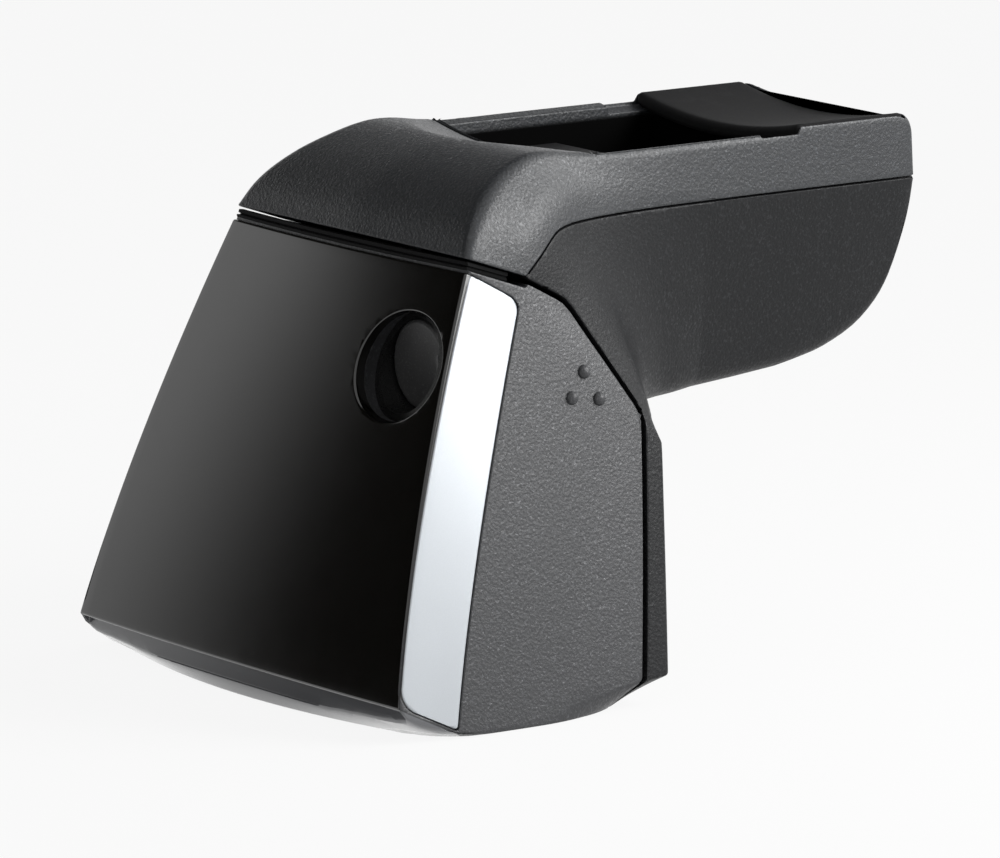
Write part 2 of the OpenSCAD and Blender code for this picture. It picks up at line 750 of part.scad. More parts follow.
module lock_sleeve() {
    color("#3a3b3d") placed()
        difference() {
            bar_y(lock_x, lock_z, lock_front - 8, sleeve_y1, sleeve_r);
            translate([0, 0, 0])
                panel_frame()
                    translate([-60, -60, -panel_t - 0.3])
                        cube([120, 200, 60]);
            bar_y(lock_x, lock_z, lock_front - 12, sleeve_y1 + 1, plug_d/2 + run_gap);
        }
}
module sleeve_nut() {
    color("#55585c") placed()
        difference() {
            bar_y(lock_x, lock_z, boss_y1, boss_y1 + nut_h, nut_r);
            bar_y(lock_x, lock_z, boss_y1 - 1, boss_y1 + nut_h + 1, sleeve_r);
            for (a = [0:90:270])
                translate([lock_x, 0, lock_z])
                    rotate([0, a, 0])
                        translate([nut_r, boss_y1 + nut_h/2, 0])
                            cube([1.6, nut_h + 1, 4], center = true);
        }
}
module lock_plug() {
    color("#2f3031") placed()
        difference() {
            union() {
                bar_y(lock_x, lock_z, plug_y0, sleeve_y1 + 0.2, plug_d/2);
                bar_y(lock_x, lock_z, plug_y0, cam_y0 + cam_t, 3.5);
            }
            // Shallow dish, and the notch at the face's edge
            translate([lock_x, plug_y0 - 29.4, lock_z])
                sphere(r = 30, $fn = 96);
            translate([lock_x + plug_d/2 - 2.6, plug_y0 - 1, lock_z - 2.4])
                cube([4, 4, 4.8]);
            bar_y(lock_x, lock_z, cam_y0 - 4, cam_y0 + cam_t + 1, screw_r);
        }
}
// At rest the cam points to the middle and the cover is free
module lock_cam() {
    color("#a8abb0") placed()
        difference() {
            hull() {
                bar_y(lock_x, lock_z, cam_y0, cam_y0 + cam_t, 6);
                translate([lock_x - cam_l, cam_y0, lock_z - 3])
                    cube([2, cam_t, 6]);
            }
            bar_y(lock_x, lock_z, cam_y0 - 1, cam_y0 + cam_t + 1, 3.5);
        }
}
module cam_screw() {
    color("#b9bcc0") placed() {
        bar_y(lock_x, lock_z, cam_y0 + cam_t, cam_y0 + cam_t + screw_head_h, 4.4);
        bar_y(lock_x, lock_z, cam_y0 - 3, cam_y0 + cam_t + 1, screw_r);
    }
}

chassis();
rear_housing();
top_cap();
saddle_pad();
housing_screws();
cap_screws();
hinge_pins();
lock_keeper();
keeper_screws();
bolt_bush();
cover_shell();
gloss_panel();
trim_left();
trim_right();
cover_seal();
lock_sleeve();
sleeve_nut();
lock_plug();
lock_cam();
cam_screw();
clamp_bolt();
bolt_washer();
bolt_collar();
clip_carrier();
clip_pin();
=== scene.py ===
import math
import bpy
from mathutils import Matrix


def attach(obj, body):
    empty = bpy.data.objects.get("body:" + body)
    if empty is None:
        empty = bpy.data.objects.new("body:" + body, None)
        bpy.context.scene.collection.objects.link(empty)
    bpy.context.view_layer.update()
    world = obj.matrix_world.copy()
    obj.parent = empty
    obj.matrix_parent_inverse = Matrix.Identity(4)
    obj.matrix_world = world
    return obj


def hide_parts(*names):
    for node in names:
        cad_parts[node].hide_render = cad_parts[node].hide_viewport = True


bl_info = {
    "name": "Roof Bar Foot",
    "version": (1, 0, 0),
    "blender": (4, 5, 0),
    "location": "View3D > Sidebar > Roof Bar Foot",
    "description": "Dresses the foot of a roof bar: moulded shells, gloss "
                   "panel, strips, pad, lock and metalwork",
    "category": "Add Mesh",
}

import bmesh
import bpy
from bpy.props import FloatProperty, FloatVectorProperty, PointerProperty
from mathutils import Matrix, Vector

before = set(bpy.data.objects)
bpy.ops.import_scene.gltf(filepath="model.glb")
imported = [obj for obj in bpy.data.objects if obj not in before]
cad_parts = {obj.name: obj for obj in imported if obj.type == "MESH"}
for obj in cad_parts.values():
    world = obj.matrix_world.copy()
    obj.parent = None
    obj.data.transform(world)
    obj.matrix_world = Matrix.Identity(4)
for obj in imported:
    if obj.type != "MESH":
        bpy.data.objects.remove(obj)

# The drawing's own frame has its zero at the panel's lower edge; this is where the model has it
MM = 0.001
PANEL_EDGE_Y = -64.95
LEAN = math.radians(19.2)
LEAN_Y, LEAN_Z = math.sin(LEAN), math.cos(LEAN)
PANEL_Z, PANEL_H, CROWN = 6.3, 75.6, 1.3
COVER_TOP = 75.8
CAP_LOW = 77.6
RIM_Z, PAD_PROUD, REACH, PART_Z = 93.7, 1.3, 131.2, 83.0
SADDLE_R = 110.0
SADDLE_LOW = RIM_Z + PAD_PROUD - 25.0 * 25.0 / (2 * SADDLE_R)
POCKET = (21.5, 60.8, 106.5)
PAD_Y0, PAD_HALF, PAD_T = 105.0, 24.1, 2.6
LOCK_X, LOCK_Z = 23.2, 59.8
LOCK_FRONT = (LOCK_Z - PANEL_Z) * math.tan(LEAN)
PLUG_R, PLUG_DEPTH, MOUTH_BORE_R, SLEEVE_BORE_R, BOSS_R = 8.0, 4.6, 8.6, 9.4, 11.95
HINGE_Y, HINGE_Z, PIN_BORE_R, KNUCKLE_R = 7.4, 5, 1.55, 2.9
BUMPS = ((46.8, 58.4), (43.4, 54.3), (49.3, 53.5))
PART_LINE = [(37.3, 75.6), (38.3, 76.6), (39.3, 77.4), (40.6, 78.4), (42, 79.4), (43.2, 80.3),
             (44.5, 81.2), (45.7, 81.9), (47, 82.4), (48.7, 82.75), (51, 82.95), (54, 83)]


def at(x, y, z):
    """A place of the drawing, in millimetres, as a place of the model."""
    return Vector((x * MM, (y + PANEL_EDGE_Y) * MM, z * MM))


# ---------------------------------------------------------------------------------------------
# Sizes and colours that a user would change
# ---------------------------------------------------------------------------------------------


class RoofBarFootShells(bpy.types.PropertyGroup):
    wall: FloatProperty(
        name="Wall", description="Thickness of the moulded shells", default=0.0022,
        min=0.001, max=0.004, unit="LENGTH")
    edge: FloatProperty(
        name="Edge", description="Rounding of the edges where the shells part", default=0.00035,
        min=0.0001, max=0.001, unit="LENGTH")
    cap_colour: FloatVectorProperty(
        name="Cap Colour", description="Colour of the cap over the arm", subtype="COLOR",
        default=(0.026, 0.028, 0.031), min=0, max=1)
    # Darker than cap and cover: the black plastic is darkened further as painted shade for the housing's
    # shaded side
    body_colour_with_painted_shade: FloatVectorProperty(
        name="Body Colour", description="Colour of the rear housing and arm", subtype="COLOR",
        default=(0.014, 0.0145, 0.0155), min=0, max=1)
    cover_colour: FloatVectorProperty(
        name="Cover Colour", description="Colour of the cover's shell", subtype="COLOR",
        default=(0.038, 0.039, 0.042), min=0, max=1)


class RoofBarFootFront(bpy.types.PropertyGroup):
    panel_edge: FloatProperty(
        name="Panel Edge", description="Rounding of the gloss panel's border", default=0.00045,
        min=0.0001, max=0.001, unit="LENGTH")
    strip_round: FloatProperty(
        name="Strip Corner", description="Radius of the strips' lower inner corner",
        default=0.0032, min=0.001, max=0.005, unit="LENGTH")
    panel_colour: FloatVectorProperty(
        name="Panel Colour", description="Colour under the panel's gloss coat", subtype="COLOR",
        default=(0.0028, 0.0024, 0.0018), min=0, max=1)
    # The strips' light grey is in part a painted reflection of a bright light, so they show bright from every
    # side
    strip_colour_with_painted_reflection: FloatVectorProperty(
        name="Strip Colour", description="Colour of the silver strips", subtype="COLOR",
        default=(0.53, 0.56, 0.59), min=0, max=1)


class RoofBarFootFittings(bpy.types.PropertyGroup):
    pad_edge: FloatProperty(
        name="Pad Edge", description="Rounding of the saddle pad's border", default=0.0010,
        min=0.0002, max=0.0012, unit="LENGTH")
    rubber_colour: FloatVectorProperty(
        name="Rubber Colour", description="Colour of the saddle pad and the seal",
        subtype="COLOR", default=(0.011, 0.011, 0.0115), min=0, max=1)
    casting_colour: FloatVectorProperty(
        name="Casting Colour", description="Colour of the cast chassis", subtype="COLOR",
        default=(0.014, 0.014, 0.015), min=0, max=1)
    plug_colour: FloatVectorProperty(
        name="Plug Colour", description="Colour of the lock's cap plug", subtype="COLOR",
        default=(0.05, 0.05, 0.051), min=0, max=1)


class RoofBarFootStage(bpy.types.PropertyGroup):
    light: FloatProperty(
        name="Light", description="Strength of the studio lamps, as a share of the usual",
        default=1.0, min=0.1, max=3.0, subtype="FACTOR")
    floor: FloatVectorProperty(
        name="Floor", description="Colour of the floor", subtype="COLOR",
        default=(0.8, 0.8, 0.8), min=0, max=1)


# ---------------------------------------------------------------------------------------------
# Hand tools: what a modeller does in the window, as calls
# ---------------------------------------------------------------------------------------------


def pick(*objs):
    """Only these are selected, and the first is active."""
    if bpy.context.object and bpy.context.object.mode != "OBJECT":
        bpy.ops.object.mode_set(mode="OBJECT")
    bpy.ops.object.select_all(action="DESELECT")
    for o in objs:
        o.select_set(True)
    bpy.context.view_layer.objects.active = objs[0] if objs else None


def start_ring(name, points):
    """A ring through these points, in edit mode with all of it selected."""
    pick()
    bpy.ops.mesh.primitive_circle_add(vertices=len(points), radius=0.01)
    obj = bpy.context.object
    obj.name = obj.data.name = name
    bpy.ops.object.mode_set(mode="EDIT")
    bm = bmesh.from_edit_mesh(obj.data)
    order = bm.verts.layers.int.new("order")
    bm.verts.ensure_lookup_table()
    for i, v in enumerate(bm.verts):
        v[order] = i
        v.co = points[i]
    bmesh.update_edit_mesh(obj.data)
    return obj


def extrude_ring(obj, points):
    """Extrudes the selected ring once and sets it on the next points."""
    bpy.ops.mesh.extrude_region_move()
    bm = bmesh.from_edit_mesh(obj.data)
    order = bm.verts.layers.int["order"]
    for v in bm.verts:
        if v.select:
            v.co = points[v[order]]
    bmesh.update_edit_mesh(obj.data)


def close_up(obj):
    """Fills the open rings and turns the faces outwards."""
    bpy.ops.mesh.select_all(action="DESELECT")
    for _ in range(2):
        bm = bmesh.from_edit_mesh(obj.data)
        edge = next((e for e in bm.edges if e.is_boundary), None)
        if edge is None:
            break
        loop, front = {edge}, [edge]
        while front:
            e = front.pop()
            for v in e.verts:
                for n in v.link_edges:
                    if n.is_boundary and n not in loop:
                        loop.add(n)
                        front.append(n)
        for e in bm.edges:
            e.select_set(e in loop)
        bmesh.update_edit_mesh(obj.data)
        bpy.ops.mesh.edge_face_add()
        bpy.ops.mesh.select_all(action="DESELECT")
    bpy.ops.mesh.select_all(action="SELECT")
    bpy.ops.mesh.normals_make_consistent(inside=False)
    bpy.ops.object.mode_set(mode="OBJECT")


def loft(name, rings):
    """A closed body extruded from ring to ring."""
    obj = start_ring(name, rings[0])
    for ring in rings[1:]:
        extrude_ring(obj, ring)
    close_up(obj)
    return obj


def prism(name, outline, push):
    """A block over an outline, drawn in model places."""
    push = Vector(push)
    return loft(name, [outline, [p + push for p in outline]])


def side_block(name, points, half=60.0):
    """A block through the whole width over an outline of the side view."""
    return prism(name, [at(-half, y, z) for y, z in points], (2 * half * MM, 0, 0))


def box(name, low, high):
    outline = [at(low[0], low[1], low[2]), at(high[0], low[1], low[2]),
               at(high[0], high[1], low[2]), at(low[0], high[1], low[2])]
    return prism(name, outline, (0, 0, (high[2] - low[2]) * MM))


def round_bar(name, ends, radii, sides=64):
    """A turned bar: rings of these radii at these places, given along one axis."""
    rings = []
    a, b = ends[0], ends[-1]
    axis = (b - a).normalized()
    across = axis.orthogonal().normalized()
    up = axis.cross(across)
    for place, r in zip(ends, radii):
        rings.append([place + (across * math.cos(2 * math.pi * k / sides)
                               + up * math.sin(2 * math.pi * k / sides)) * r * MM
                      for k in range(sides)])
    return loft(name, rings)


def carve(obj, *tools, how="DIFFERENCE"):
    """Cuts, joins or keeps what is common, and removes the tools."""
    for tool in tools:
        pick(obj)
        m = obj.modifiers.new("carve", "BOOLEAN")
        m.operation, m.solver, m.object = how, "EXACT", tool
        bpy.ops.object.modifier_apply(modifier=m.name)
        bpy.data.objects.remove(tool, do_unlink=True)
    return obj


def tidy_mesh(obj, merge=0.00004, flat=0.5, short=0.00009):
    """Merges doubles, closes up short edges and dissolves what lies flat."""
    pick(obj)
    bpy.ops.object.mode_set(mode="EDIT")
    bpy.ops.mesh.select_all(action="SELECT")
    bpy.ops.mesh.remove_doubles(threshold=merge)
    bpy.ops.mesh.dissolve_degenerate(threshold=short)
    if flat:
        bpy.ops.mesh.dissolve_limited(angle_limit=math.radians(flat))
    bpy.ops.object.mode_set(mode="OBJECT")


def soften(obj, width, segments=2, angle=32, clamp=False):
    """Rounds the sharp edges."""
    pick(obj)
    m = obj.modifiers.new("edge", "BEVEL")
    m.width, m.segments = width, segments
    m.limit_method, m.angle_limit = "ANGLE", math.radians(angle)
    m.use_clamp_overlap = clamp
    m.miter_outer = "MITER_ARC"
    m.loop_slide = False
    m.harden_normals = False
    bpy.ops.object.modifier_apply(modifier=m.name)


def smooth(obj, angle=35, weighted=True):
    pick(obj)
    bpy.ops.object.shade_smooth_by_angle(angle=math.radians(angle))
    if weighted:
        m = obj.modifiers.new("normals", "WEIGHTED_NORMAL")
        m.keep_sharp = True
        m.weight = 60
        bpy.ops.object.modifier_apply(modifier=m.name)


def dress(obj, body, slot, material, *nodes):
    """Gives a finished piece its finish and its body."""
    obj.data.materials.clear()
    obj.data.materials.append(material)
    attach(obj, body)
    if nodes:
        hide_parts(*nodes)
    return obj


# ---------------------------------------------------------------------------------------------
# The drawing: sections of the whole outer body, from the base ring up and out along the arm
# ---------------------------------------------------------------------------------------------


def half_panel(v):
    return 49.85 - 14.1 * v / PANEL_H


def belly(v):
    """How far the front bellies out at a height up its slope."""
    t = min(max(v / PANEL_H, 0.0), 1.0)
    return 6.4 * t * (1 - t) + 0.7 * (1 - (1 - t) ** 6)


def front(u, v, d=0.0):
    """A place on the crowned front: across from -1 to 1, up the slope, and inwards."""
    return (u * (half_panel(v) - d), v * LEAN_Y + d / LEAN_Z - CROWN * (1 - u * u) - belly(v),
            PANEL_Z + v * LEAN_Z)


def square_to_panel(v, back):
    """A place of the side view at a height up the slope and a distance behind the panel."""
    return (v * LEAN_Y + back * LEAN_Z, PANEL_Z + v * LEAN_Z - back * LEAN_Y)


def lerp(a, b, t):
    return tuple(p + (q - p) * t for p, q in zip(a, b))


# A section: front middle, front corner, corner of strip and side, three places down the side,
# rear corner, rear middle; and the rounding at each corner
SKIRT = ([(0, 0.3, 0.05), (46.5, 7.2, 0.05), (51.7, 14.5, 0.05), (51.95, 24, 0.05),
          (51.9, 33.5, 0.05), (48.9, 44.5, 0.05), (41, 53.4, 0.05), (0, 55.8, 0.05)],
         [0, 5, 5, 2, 5, 5, 5, 0])
SILL = ([(0, -1.3, 6.3), (49.85, 0, 6.3), (51.9, 11.1, 0.9), (51.9, 24, 1.0), (51.5, 34.2, 2.7),
         (51.2, 50.0, 4.9), (50.9, 57.1, 5.4), (0, 57.1, 5.4)], [0, 0.5, 0.7, 1, 1, 1, 1.2, 0])
NECK = ([(0, 23.6, 77.7), (35.75, 24.9, 77.7), (35.95, 36.1, 73.3), (37.7, 45, 65),
         (39.3, 52, 57), (40.9, 57.6, 50), (42.6, 62.0, 42.4), (0, 62.0, 42.4)],
        [0, 0.5, 0.7, 1, 1, 1, 1.8, 0])
BROW = [
    ([(0, 23.2, 79.6), (35.8, 24.2, 79.6), (35.5, 35.7, 75.7), (36.3, 45.3, 68),
      (38.5, 52.8, 59), (40.1, 58.4, 51), (42.1, 62.4, 43.8), (0, 62.4, 43.8)],
     [0, 1.6, 1.2, 2, 2, 2, 2.2, 0]),
    ([(0, 26.6, 85.2), (33.5, 27.4, 85.1), (34.6, 37.6, 80.7), (35.1, 46.3, 72),
      (37, 53.8, 62), (39, 59.2, 52.7), (40.2, 62.2, 46.4), (0, 62.2, 46.4)],
     [0, 2.4, 1.6, 3, 3, 3, 3, 0]),
    ([(0, 31.8, 89.8), (30.4, 32.4, 89.6), (33.3, 40.8, 83.7), (33.6, 48.4, 75),
      (35.5, 55.4, 64), (38, 60.3, 54), (38.2, 63.2, 47.1), (0, 63.2, 47.1)],
     [0, 2.6, 2.2, 3, 3, 3, 4, 0]),
    ([(0, 38, 93), (27.3, 38.3, 92.8), (31.6, 44.4, 86.2), (31.8, 51, 77),
      (33.6, 57, 66), (36.2, 61.5, 55.5), (35.2, 64.8, 47.3), (0, 64.8, 47.3)],
     [0, 2.2, 3, 4, 4, 4, 6, 0]),
    ([(0, 44.3, 94.9), (25.4, 44.5, 94.8), (29.6, 49.5, 87.7), (30.2, 54, 78),
      (32, 58.4, 67.5), (34.6, 62, 56.5), (32.7, 66, 47.4), (0, 66, 47.4)],
     [0, 1.8, 3.2, 5, 5, 5, 8, 0]),
    ([(0, 50, 95.0), (24.8, 50, 95.0), (27.9, 54, 88.2), (29, 57, 79),
      (30.3, 60.5, 68.5), (31.4, 64, 57.5), (29.4, 67.6, 47.5), (0, 67.6, 47.5)],
     [0, 1.5, 3, 6, 6, 6, 9, 0]),
    ([(0, 57, 94.1), (24.6, 57, 94.1), (26.8, 60, 87.1), (27.6, 62, 79),
      (28.3, 64.5, 69), (28.2, 67.5, 58), (26.2, 70.6, 47.6), (0, 70.6, 47.6)],
     [0, 1.4, 2.5, 6, 6, 6, 9, 0]),
    ([(0, 65, 93.7), (24.5, 65, 93.7), (26, 67, 86), (26.3, 69, 78),
      (26, 71, 68.5), (25.3, 73.2, 57.8), (23.6, 75.5, 47.7), (0, 75.5, 47.7)],
     [0, 1.6, 2.5, 6, 6, 6, 9, 0]),
    ([(0, 75, 93.7), (24.5, 75, 93.7), (25.5, 76, 84.5), (25.2, 77, 76),
      (24.4, 78.2, 66.6), (23.4, 79.6, 57), (22, 81, 47.9), (0, 81, 47.9)],
     [0, 1.6, 2, 6, 6, 6, 9, 0]),
]
# The arm: place along it, half width and height of the rim, half width at the part line, half
# width, height and rounding of the underside
ARM = [
    (86, 24.5, 93.7, 25.2, 20.6, 48.2, 9),
    (96, 24.5, 93.7, 25, 20, 48.9, 9),
    (104.8, 24.5, 93.7, 25, 20, 49.8, 9),
]
TIP = [
    (105.5, 24.5, 95, 25, 20, 49.9, 9),
    (110, 24.5, 95, 25, 20, 50.8, 9),
    (REACH - 16, 24.5, 95, 25, 20, 52.2, 9),
    (REACH - 9.5, 24.5, 95, 25, 20.2, 55.4, 9),
    (REACH - 5.4, 24.5, 95, 25, 20.6, 59.4, 8),
    (REACH - 3, 24.5, 94.8, 25, 21.4, 64.2, 7),
    (REACH - 1.1, 24.35, 93.9, 24.9, 22.6, 71.6, 5),
    (REACH - 0.3, 24.1, 92.4, 24.7, 23.6, 77.6, 3),
    (REACH, 23.7, 90.6, 24.4, 24.0, 81.6, 2),
]


def arm_section(row):
    y, top, z_top, part, low, z_low, r = row
    side, foot = (part, y, PART_Z), (low, y, z_low)
    return ([(0, y, z_top), (top, y, z_top), side, lerp(side, foot, 0.27), lerp(side, foot, 0.52),
             lerp(side, foot, 0.74), foot, (0, y, z_low)], [0, 1.6, 1.5, 4, 4, 4, r, 0])


def swell(section, t):
    """The front bellies out between sill and neck, and the sides a little with it."""
    pts, rounds = section
    ahead, out = belly(t * PANEL_H) - 0.7 * t, 3.6 * t * (1 - t)
    return ([(p[0] + out * o, p[1] - ahead * a, p[2]) for p, o, a in zip(
        pts, (0, 0, 1, 0.8, 0.6, 0.4, 0.2, 0), (1, 1, 1, 0.55, 0.2, 0, 0, 0))], rounds)


def shrink(section, d):
    """The same section, its wall moved inwards by d."""
    pts, rounds = section
    out = []
    a, b = Vector(pts[0]), Vector(pts[-1])
    down = (b - a).normalized()
    flat = [(p[0], (Vector(p) - a).dot(down)) for p in pts]
    for i, p in enumerate(pts):
        if i == 0:
            q = (0.0, flat[0][1] + d)
        elif i == len(pts) - 1:
            q = (0.0, flat[-1][1] - d)
        else:
            n = []
            for m, k in ((i - 1, i), (i, i + 1)):
                ex, ey = flat[k][0] - flat[m][0], flat[k][1] - flat[m][1]
                length = math.hypot(ex, ey)
                n.append((ey / length, -ex / length))
            det = n[0][0] * n[1][1] - n[0][1] * n[1][0]
            if abs(det) < 0.05:
                q = (flat[i][0] - d * n[0][0], flat[i][1] - d * n[0][1])
            else:
                c0 = n[0][0] * flat[i][0] + n[0][1] * flat[i][1] - d
                c1 = n[1][0] * flat[i][0] + n[1][1] * flat[i][1] - d
                q = ((c0 * n[1][1] - c1 * n[0][1]) / det, (n[0][0] * c1 - n[1][0] * c0) / det)
        shift = Vector(p) - a - down * flat[i][1] - Vector((p[0], 0, 0))
        moved = a + down * q[1] + Vector((q[0], 0, 0)) + shift
        out.append(tuple(moved))
    return out, [max(r - d, 0.25) if r else 0 for r in rounds]


STEPS = (8, 3, 3, 3, 3, 3, 6)
CORNER = 5


def ring_of(section):
    """The section's closed ring of model places, both halves."""
    pts, rounds = [Vector(p) for p in section[0]], section[1]
    half, ends = [pts[0]], []
    last = len(pts) - 1
    for i in range(1, last):
        before, after = pts[i - 1] - pts[i], pts[i + 1] - pts[i]
        r = min(rounds[i], before.length * 0.48, after.length * 0.48)
        ends.append((pts[i] + before.normalized() * r, pts[i] + after.normalized() * r))
    for i in range(1, last):
        a, b = ends[i - 1]
        start = half[-1]
        for k in range(1, STEPS[i - 1]):
            half.append(start.lerp(a, k / STEPS[i - 1]))
        for k in range(CORNER + 1):
            t = k / CORNER
            half.append(a * (1 - t) ** 2 + pts[i] * 2 * t * (1 - t) + b * t ** 2)
    start = half[-1]
    for k in range(1, STEPS[-1] + 1):
        half.append(start.lerp(pts[last], k / STEPS[-1]))
    crown = pts[1][1] - pts[0][1]
    if crown > 0.2 and abs(pts[1][2] - pts[0][2]) < 0.01:
        edge = abs(pts[1][0])
        for p in half[:STEPS[0] + 1]:
            p[1] = pts[1][1] - crown * (1 - (p[0] / edge) ** 2)
    ring = [at(*p) for p in half]
    ring += [at(-p[0], p[1], p[2]) for p in reversed(half[1:-1])]
    return ring


def between(a, b, n):
    """Straight sections from a to b, without a."""
    return [([lerp(p, q, k / n) for p, q in zip(a[0], b[0])],
             [r + (s - r) * k / n for r, s in zip(a[1], b[1])]) for k in range(1, n + 1)]


def flowing(rows, n):
    """Sections on one smooth curve through the given ones, without the first."""
    times = [0.0]
    for a, b in zip(rows, rows[1:]):
        gap = sum((Vector(p) - Vector(q)).length for p, q in zip(a[0], b[0])) / len(a[0])
        times.append(times[-1] + math.sqrt(max(gap, 0.05)))

    def value(get, i, t):
        def point(k):
            k = min(max(k, 0), len(rows) - 1)
            return Vector(get(rows[k])), times[k]
        (p0, t0), (p1, t1), (p2, t2), (p3, t3) = (point(i - 1), point(i), point(i + 1), point(i + 2))
        t = t1 + (t2 - t1) * t
        s1 = (p2 - p0) / (t2 - t0) if i > 0 else (p2 - p1) / (t2 - t1)
        s2 = (p3 - p1) / (t3 - t1) if i + 2 < len(rows) else (p2 - p1) / (t2 - t1)
        h = t2 - t1
        u = (t - t1) / h
        return (p1 * (2 * u ** 3 - 3 * u ** 2 + 1) + s1 * h * (u ** 3 - 2 * u ** 2 + u)
                + p2 * (3 * u ** 2 - 2 * u ** 3) + s2 * h * (u ** 3 - u ** 2))

    out = []
    for i in range(len(rows) - 1):
        for k in range(1, n + 1):
            pts = [tuple(value(lambda row, j=j: row[0][j], i, k / n)) for j in range(8)]
            rounds = [a + (b - a) * k / n for a, b in zip(rows[i][1], rows[i + 1][1])]
            out.append((pts, rounds))
    return out


def body_sections(d=0.0, fine=5):
    """All sections of the outer body, or of the room inside a wall of thickness d."""
    rows = [SKIRT]
    low = between(SKIRT, SILL, 4)
    for (pts, _), share in zip(low, (0.8, 1.0, 0.7)):
        pts[0] = (0, pts[0][1] - 0.4 * share, pts[0][2])
        pts[1] = (pts[1][0] + 1.5 * share, pts[1][1] - 1.6 * share, pts[1][2])
    rows += low
    rows += [swell(row, (k + 1) / 18) for k, row in enumerate(between(SILL, NECK, 18))]
    rows += between(NECK, BROW[0], 1)
    lead = BROW + [arm_section(ARM[0])]
    rows += flowing(lead, fine)
    for a, b in zip(ARM, ARM[1:]):
        rows += between(arm_section(a), arm_section(b), 2)
    rows += between(arm_section(ARM[-1]), arm_section(TIP[0]), 1)
    rows += flowing([arm_section(r) for r in TIP], 3)
    if d:
        rows = [shrink(r, d) for r in rows]
        low = [(p[0], p[1], p[2] - 2.0) for p in rows[0][0]]
        rows = [(low, rows[0][1])] + rows
        stop = REACH - d
        rows = [r for r in rows if r[0][0][1] < stop - 0.4]
        end = rows[-1]
        rows.append(([(p[0], stop, p[2]) for p in end[0]], end[1]))
    return rows


def outer_body(name):
    return loft(name, [ring_of(s) for s in body_sections()])


def inner_body(name, d):
    return loft(name, [ring_of(s) for s in body_sections(d, 3)])


def over_part_line(name, lift=0.0):
    line = [square_to_panel(CAP_LOW, -8), *PART_LINE, (REACH + 10, PART_Z + 0.2)]
    return side_block(name, [(y, z + lift) for y, z in line] + [(REACH + 10, 110), (0, 110)])


def groove(g):
    """The line where cover and housing part, g beyond the cover."""
    return [(45.5 + 1.2 * g, -5), (45.5 + 1.2 * g, 0), (51 + g, 5.4 - 0.2 * g),
            (57.9 + 1.05 * g, 48.6), (57.7 + g, 50.2 + 0.2 * g), (57.0 + 0.85 * g, 51.8 + 0.5 * g),
            (46.2 + 0.85 * g, 68.7 + 0.5 * g), (44.9 + 0.7 * g, 70.2 + 0.75 * g),
            (43.3 + 0.4 * g, 71.2 + 0.9 * g), (37.5, 74.3 + g)]


def cover_block(name):
    return side_block(name, groove(0) + [square_to_panel(COVER_TOP, 12.6),
                                         square_to_panel(COVER_TOP, -8), (-20, 60), (-20, -5)])


def cover_gap_block(name, g=0.9):
    return side_block(name, groove(g) + [square_to_panel(CAP_LOW, 12.6),
                                         square_to_panel(CAP_LOW, -8), (-20, 60), (-20, -5)])


def front_sheet(name, gap, depth, outwards=0.0, low=-0.27):
    """The panel's slab: a crowned sheet drawn up the slope, extruded inwards."""
    cols = 33
    high = PANEL_H + gap
    rings = []
    for v in [low + (high - low) * k / 36 for k in range(37)]:
        half = half_panel(v) + gap
        top = []
        for k in range(cols):
            u = -1 + 2 * k / (cols - 1)
            _, y, z = front(u, v)
            top.append(at(u * half, y - outwards, z))
        back = Vector((0, LEAN_Z, -LEAN_Y)) * (depth + outwards) * MM
        ring = top + [p + back for p in reversed(top)]
        rings.append(ring)
    return loft(name, rings)


def panel_y(x, z):
    """How far back the crowned panel's face lies at a place across and up."""
    v = (z - PANEL_Z) / LEAN_Z
    return v * LEAN_Y - CROWN * (1 - (x / half_panel(v)) ** 2) - belly(v)


def mouth_cutter(name):
    """The lock's oval mouth: a rounded rim, and a wall that narrows to the round bore."""
    rings = []
    n = 96
    wide, tall, shift, raised = 11.3, 9.35, 3.0, 0.8
    for grow, deep in ((1.6, -3.0), (0.42, -0.02), (0.2, 0.05), (0.06, 0.18), (0, 0.42), (0, 1.0)):
        ring = []
        for k in range(n):
            a = 2 * math.pi * k / n
            x = LOCK_X + shift + (wide + grow) * math.cos(a)
            z = LOCK_Z + raised + (tall + grow) * math.sin(a)
            ring.append(at(x, panel_y(x, z) + deep, z))
        rings.append(ring)
    last = rings[-1]
    bore = [at(LOCK_X + MOUTH_BORE_R * math.cos(2 * math.pi * k / n), LOCK_FRONT + PLUG_DEPTH,
               LOCK_Z + MOUTH_BORE_R * math.sin(2 * math.pi * k / n)) for k in range(n)]
    for t in (0.35, 0.7, 1.0):
        rings.append([p.lerp(q, t) for p, q in zip(last, bore)])
    rings.append([p + Vector((0, 26 * MM, 0)) for p in bore])
    return loft(name, rings)


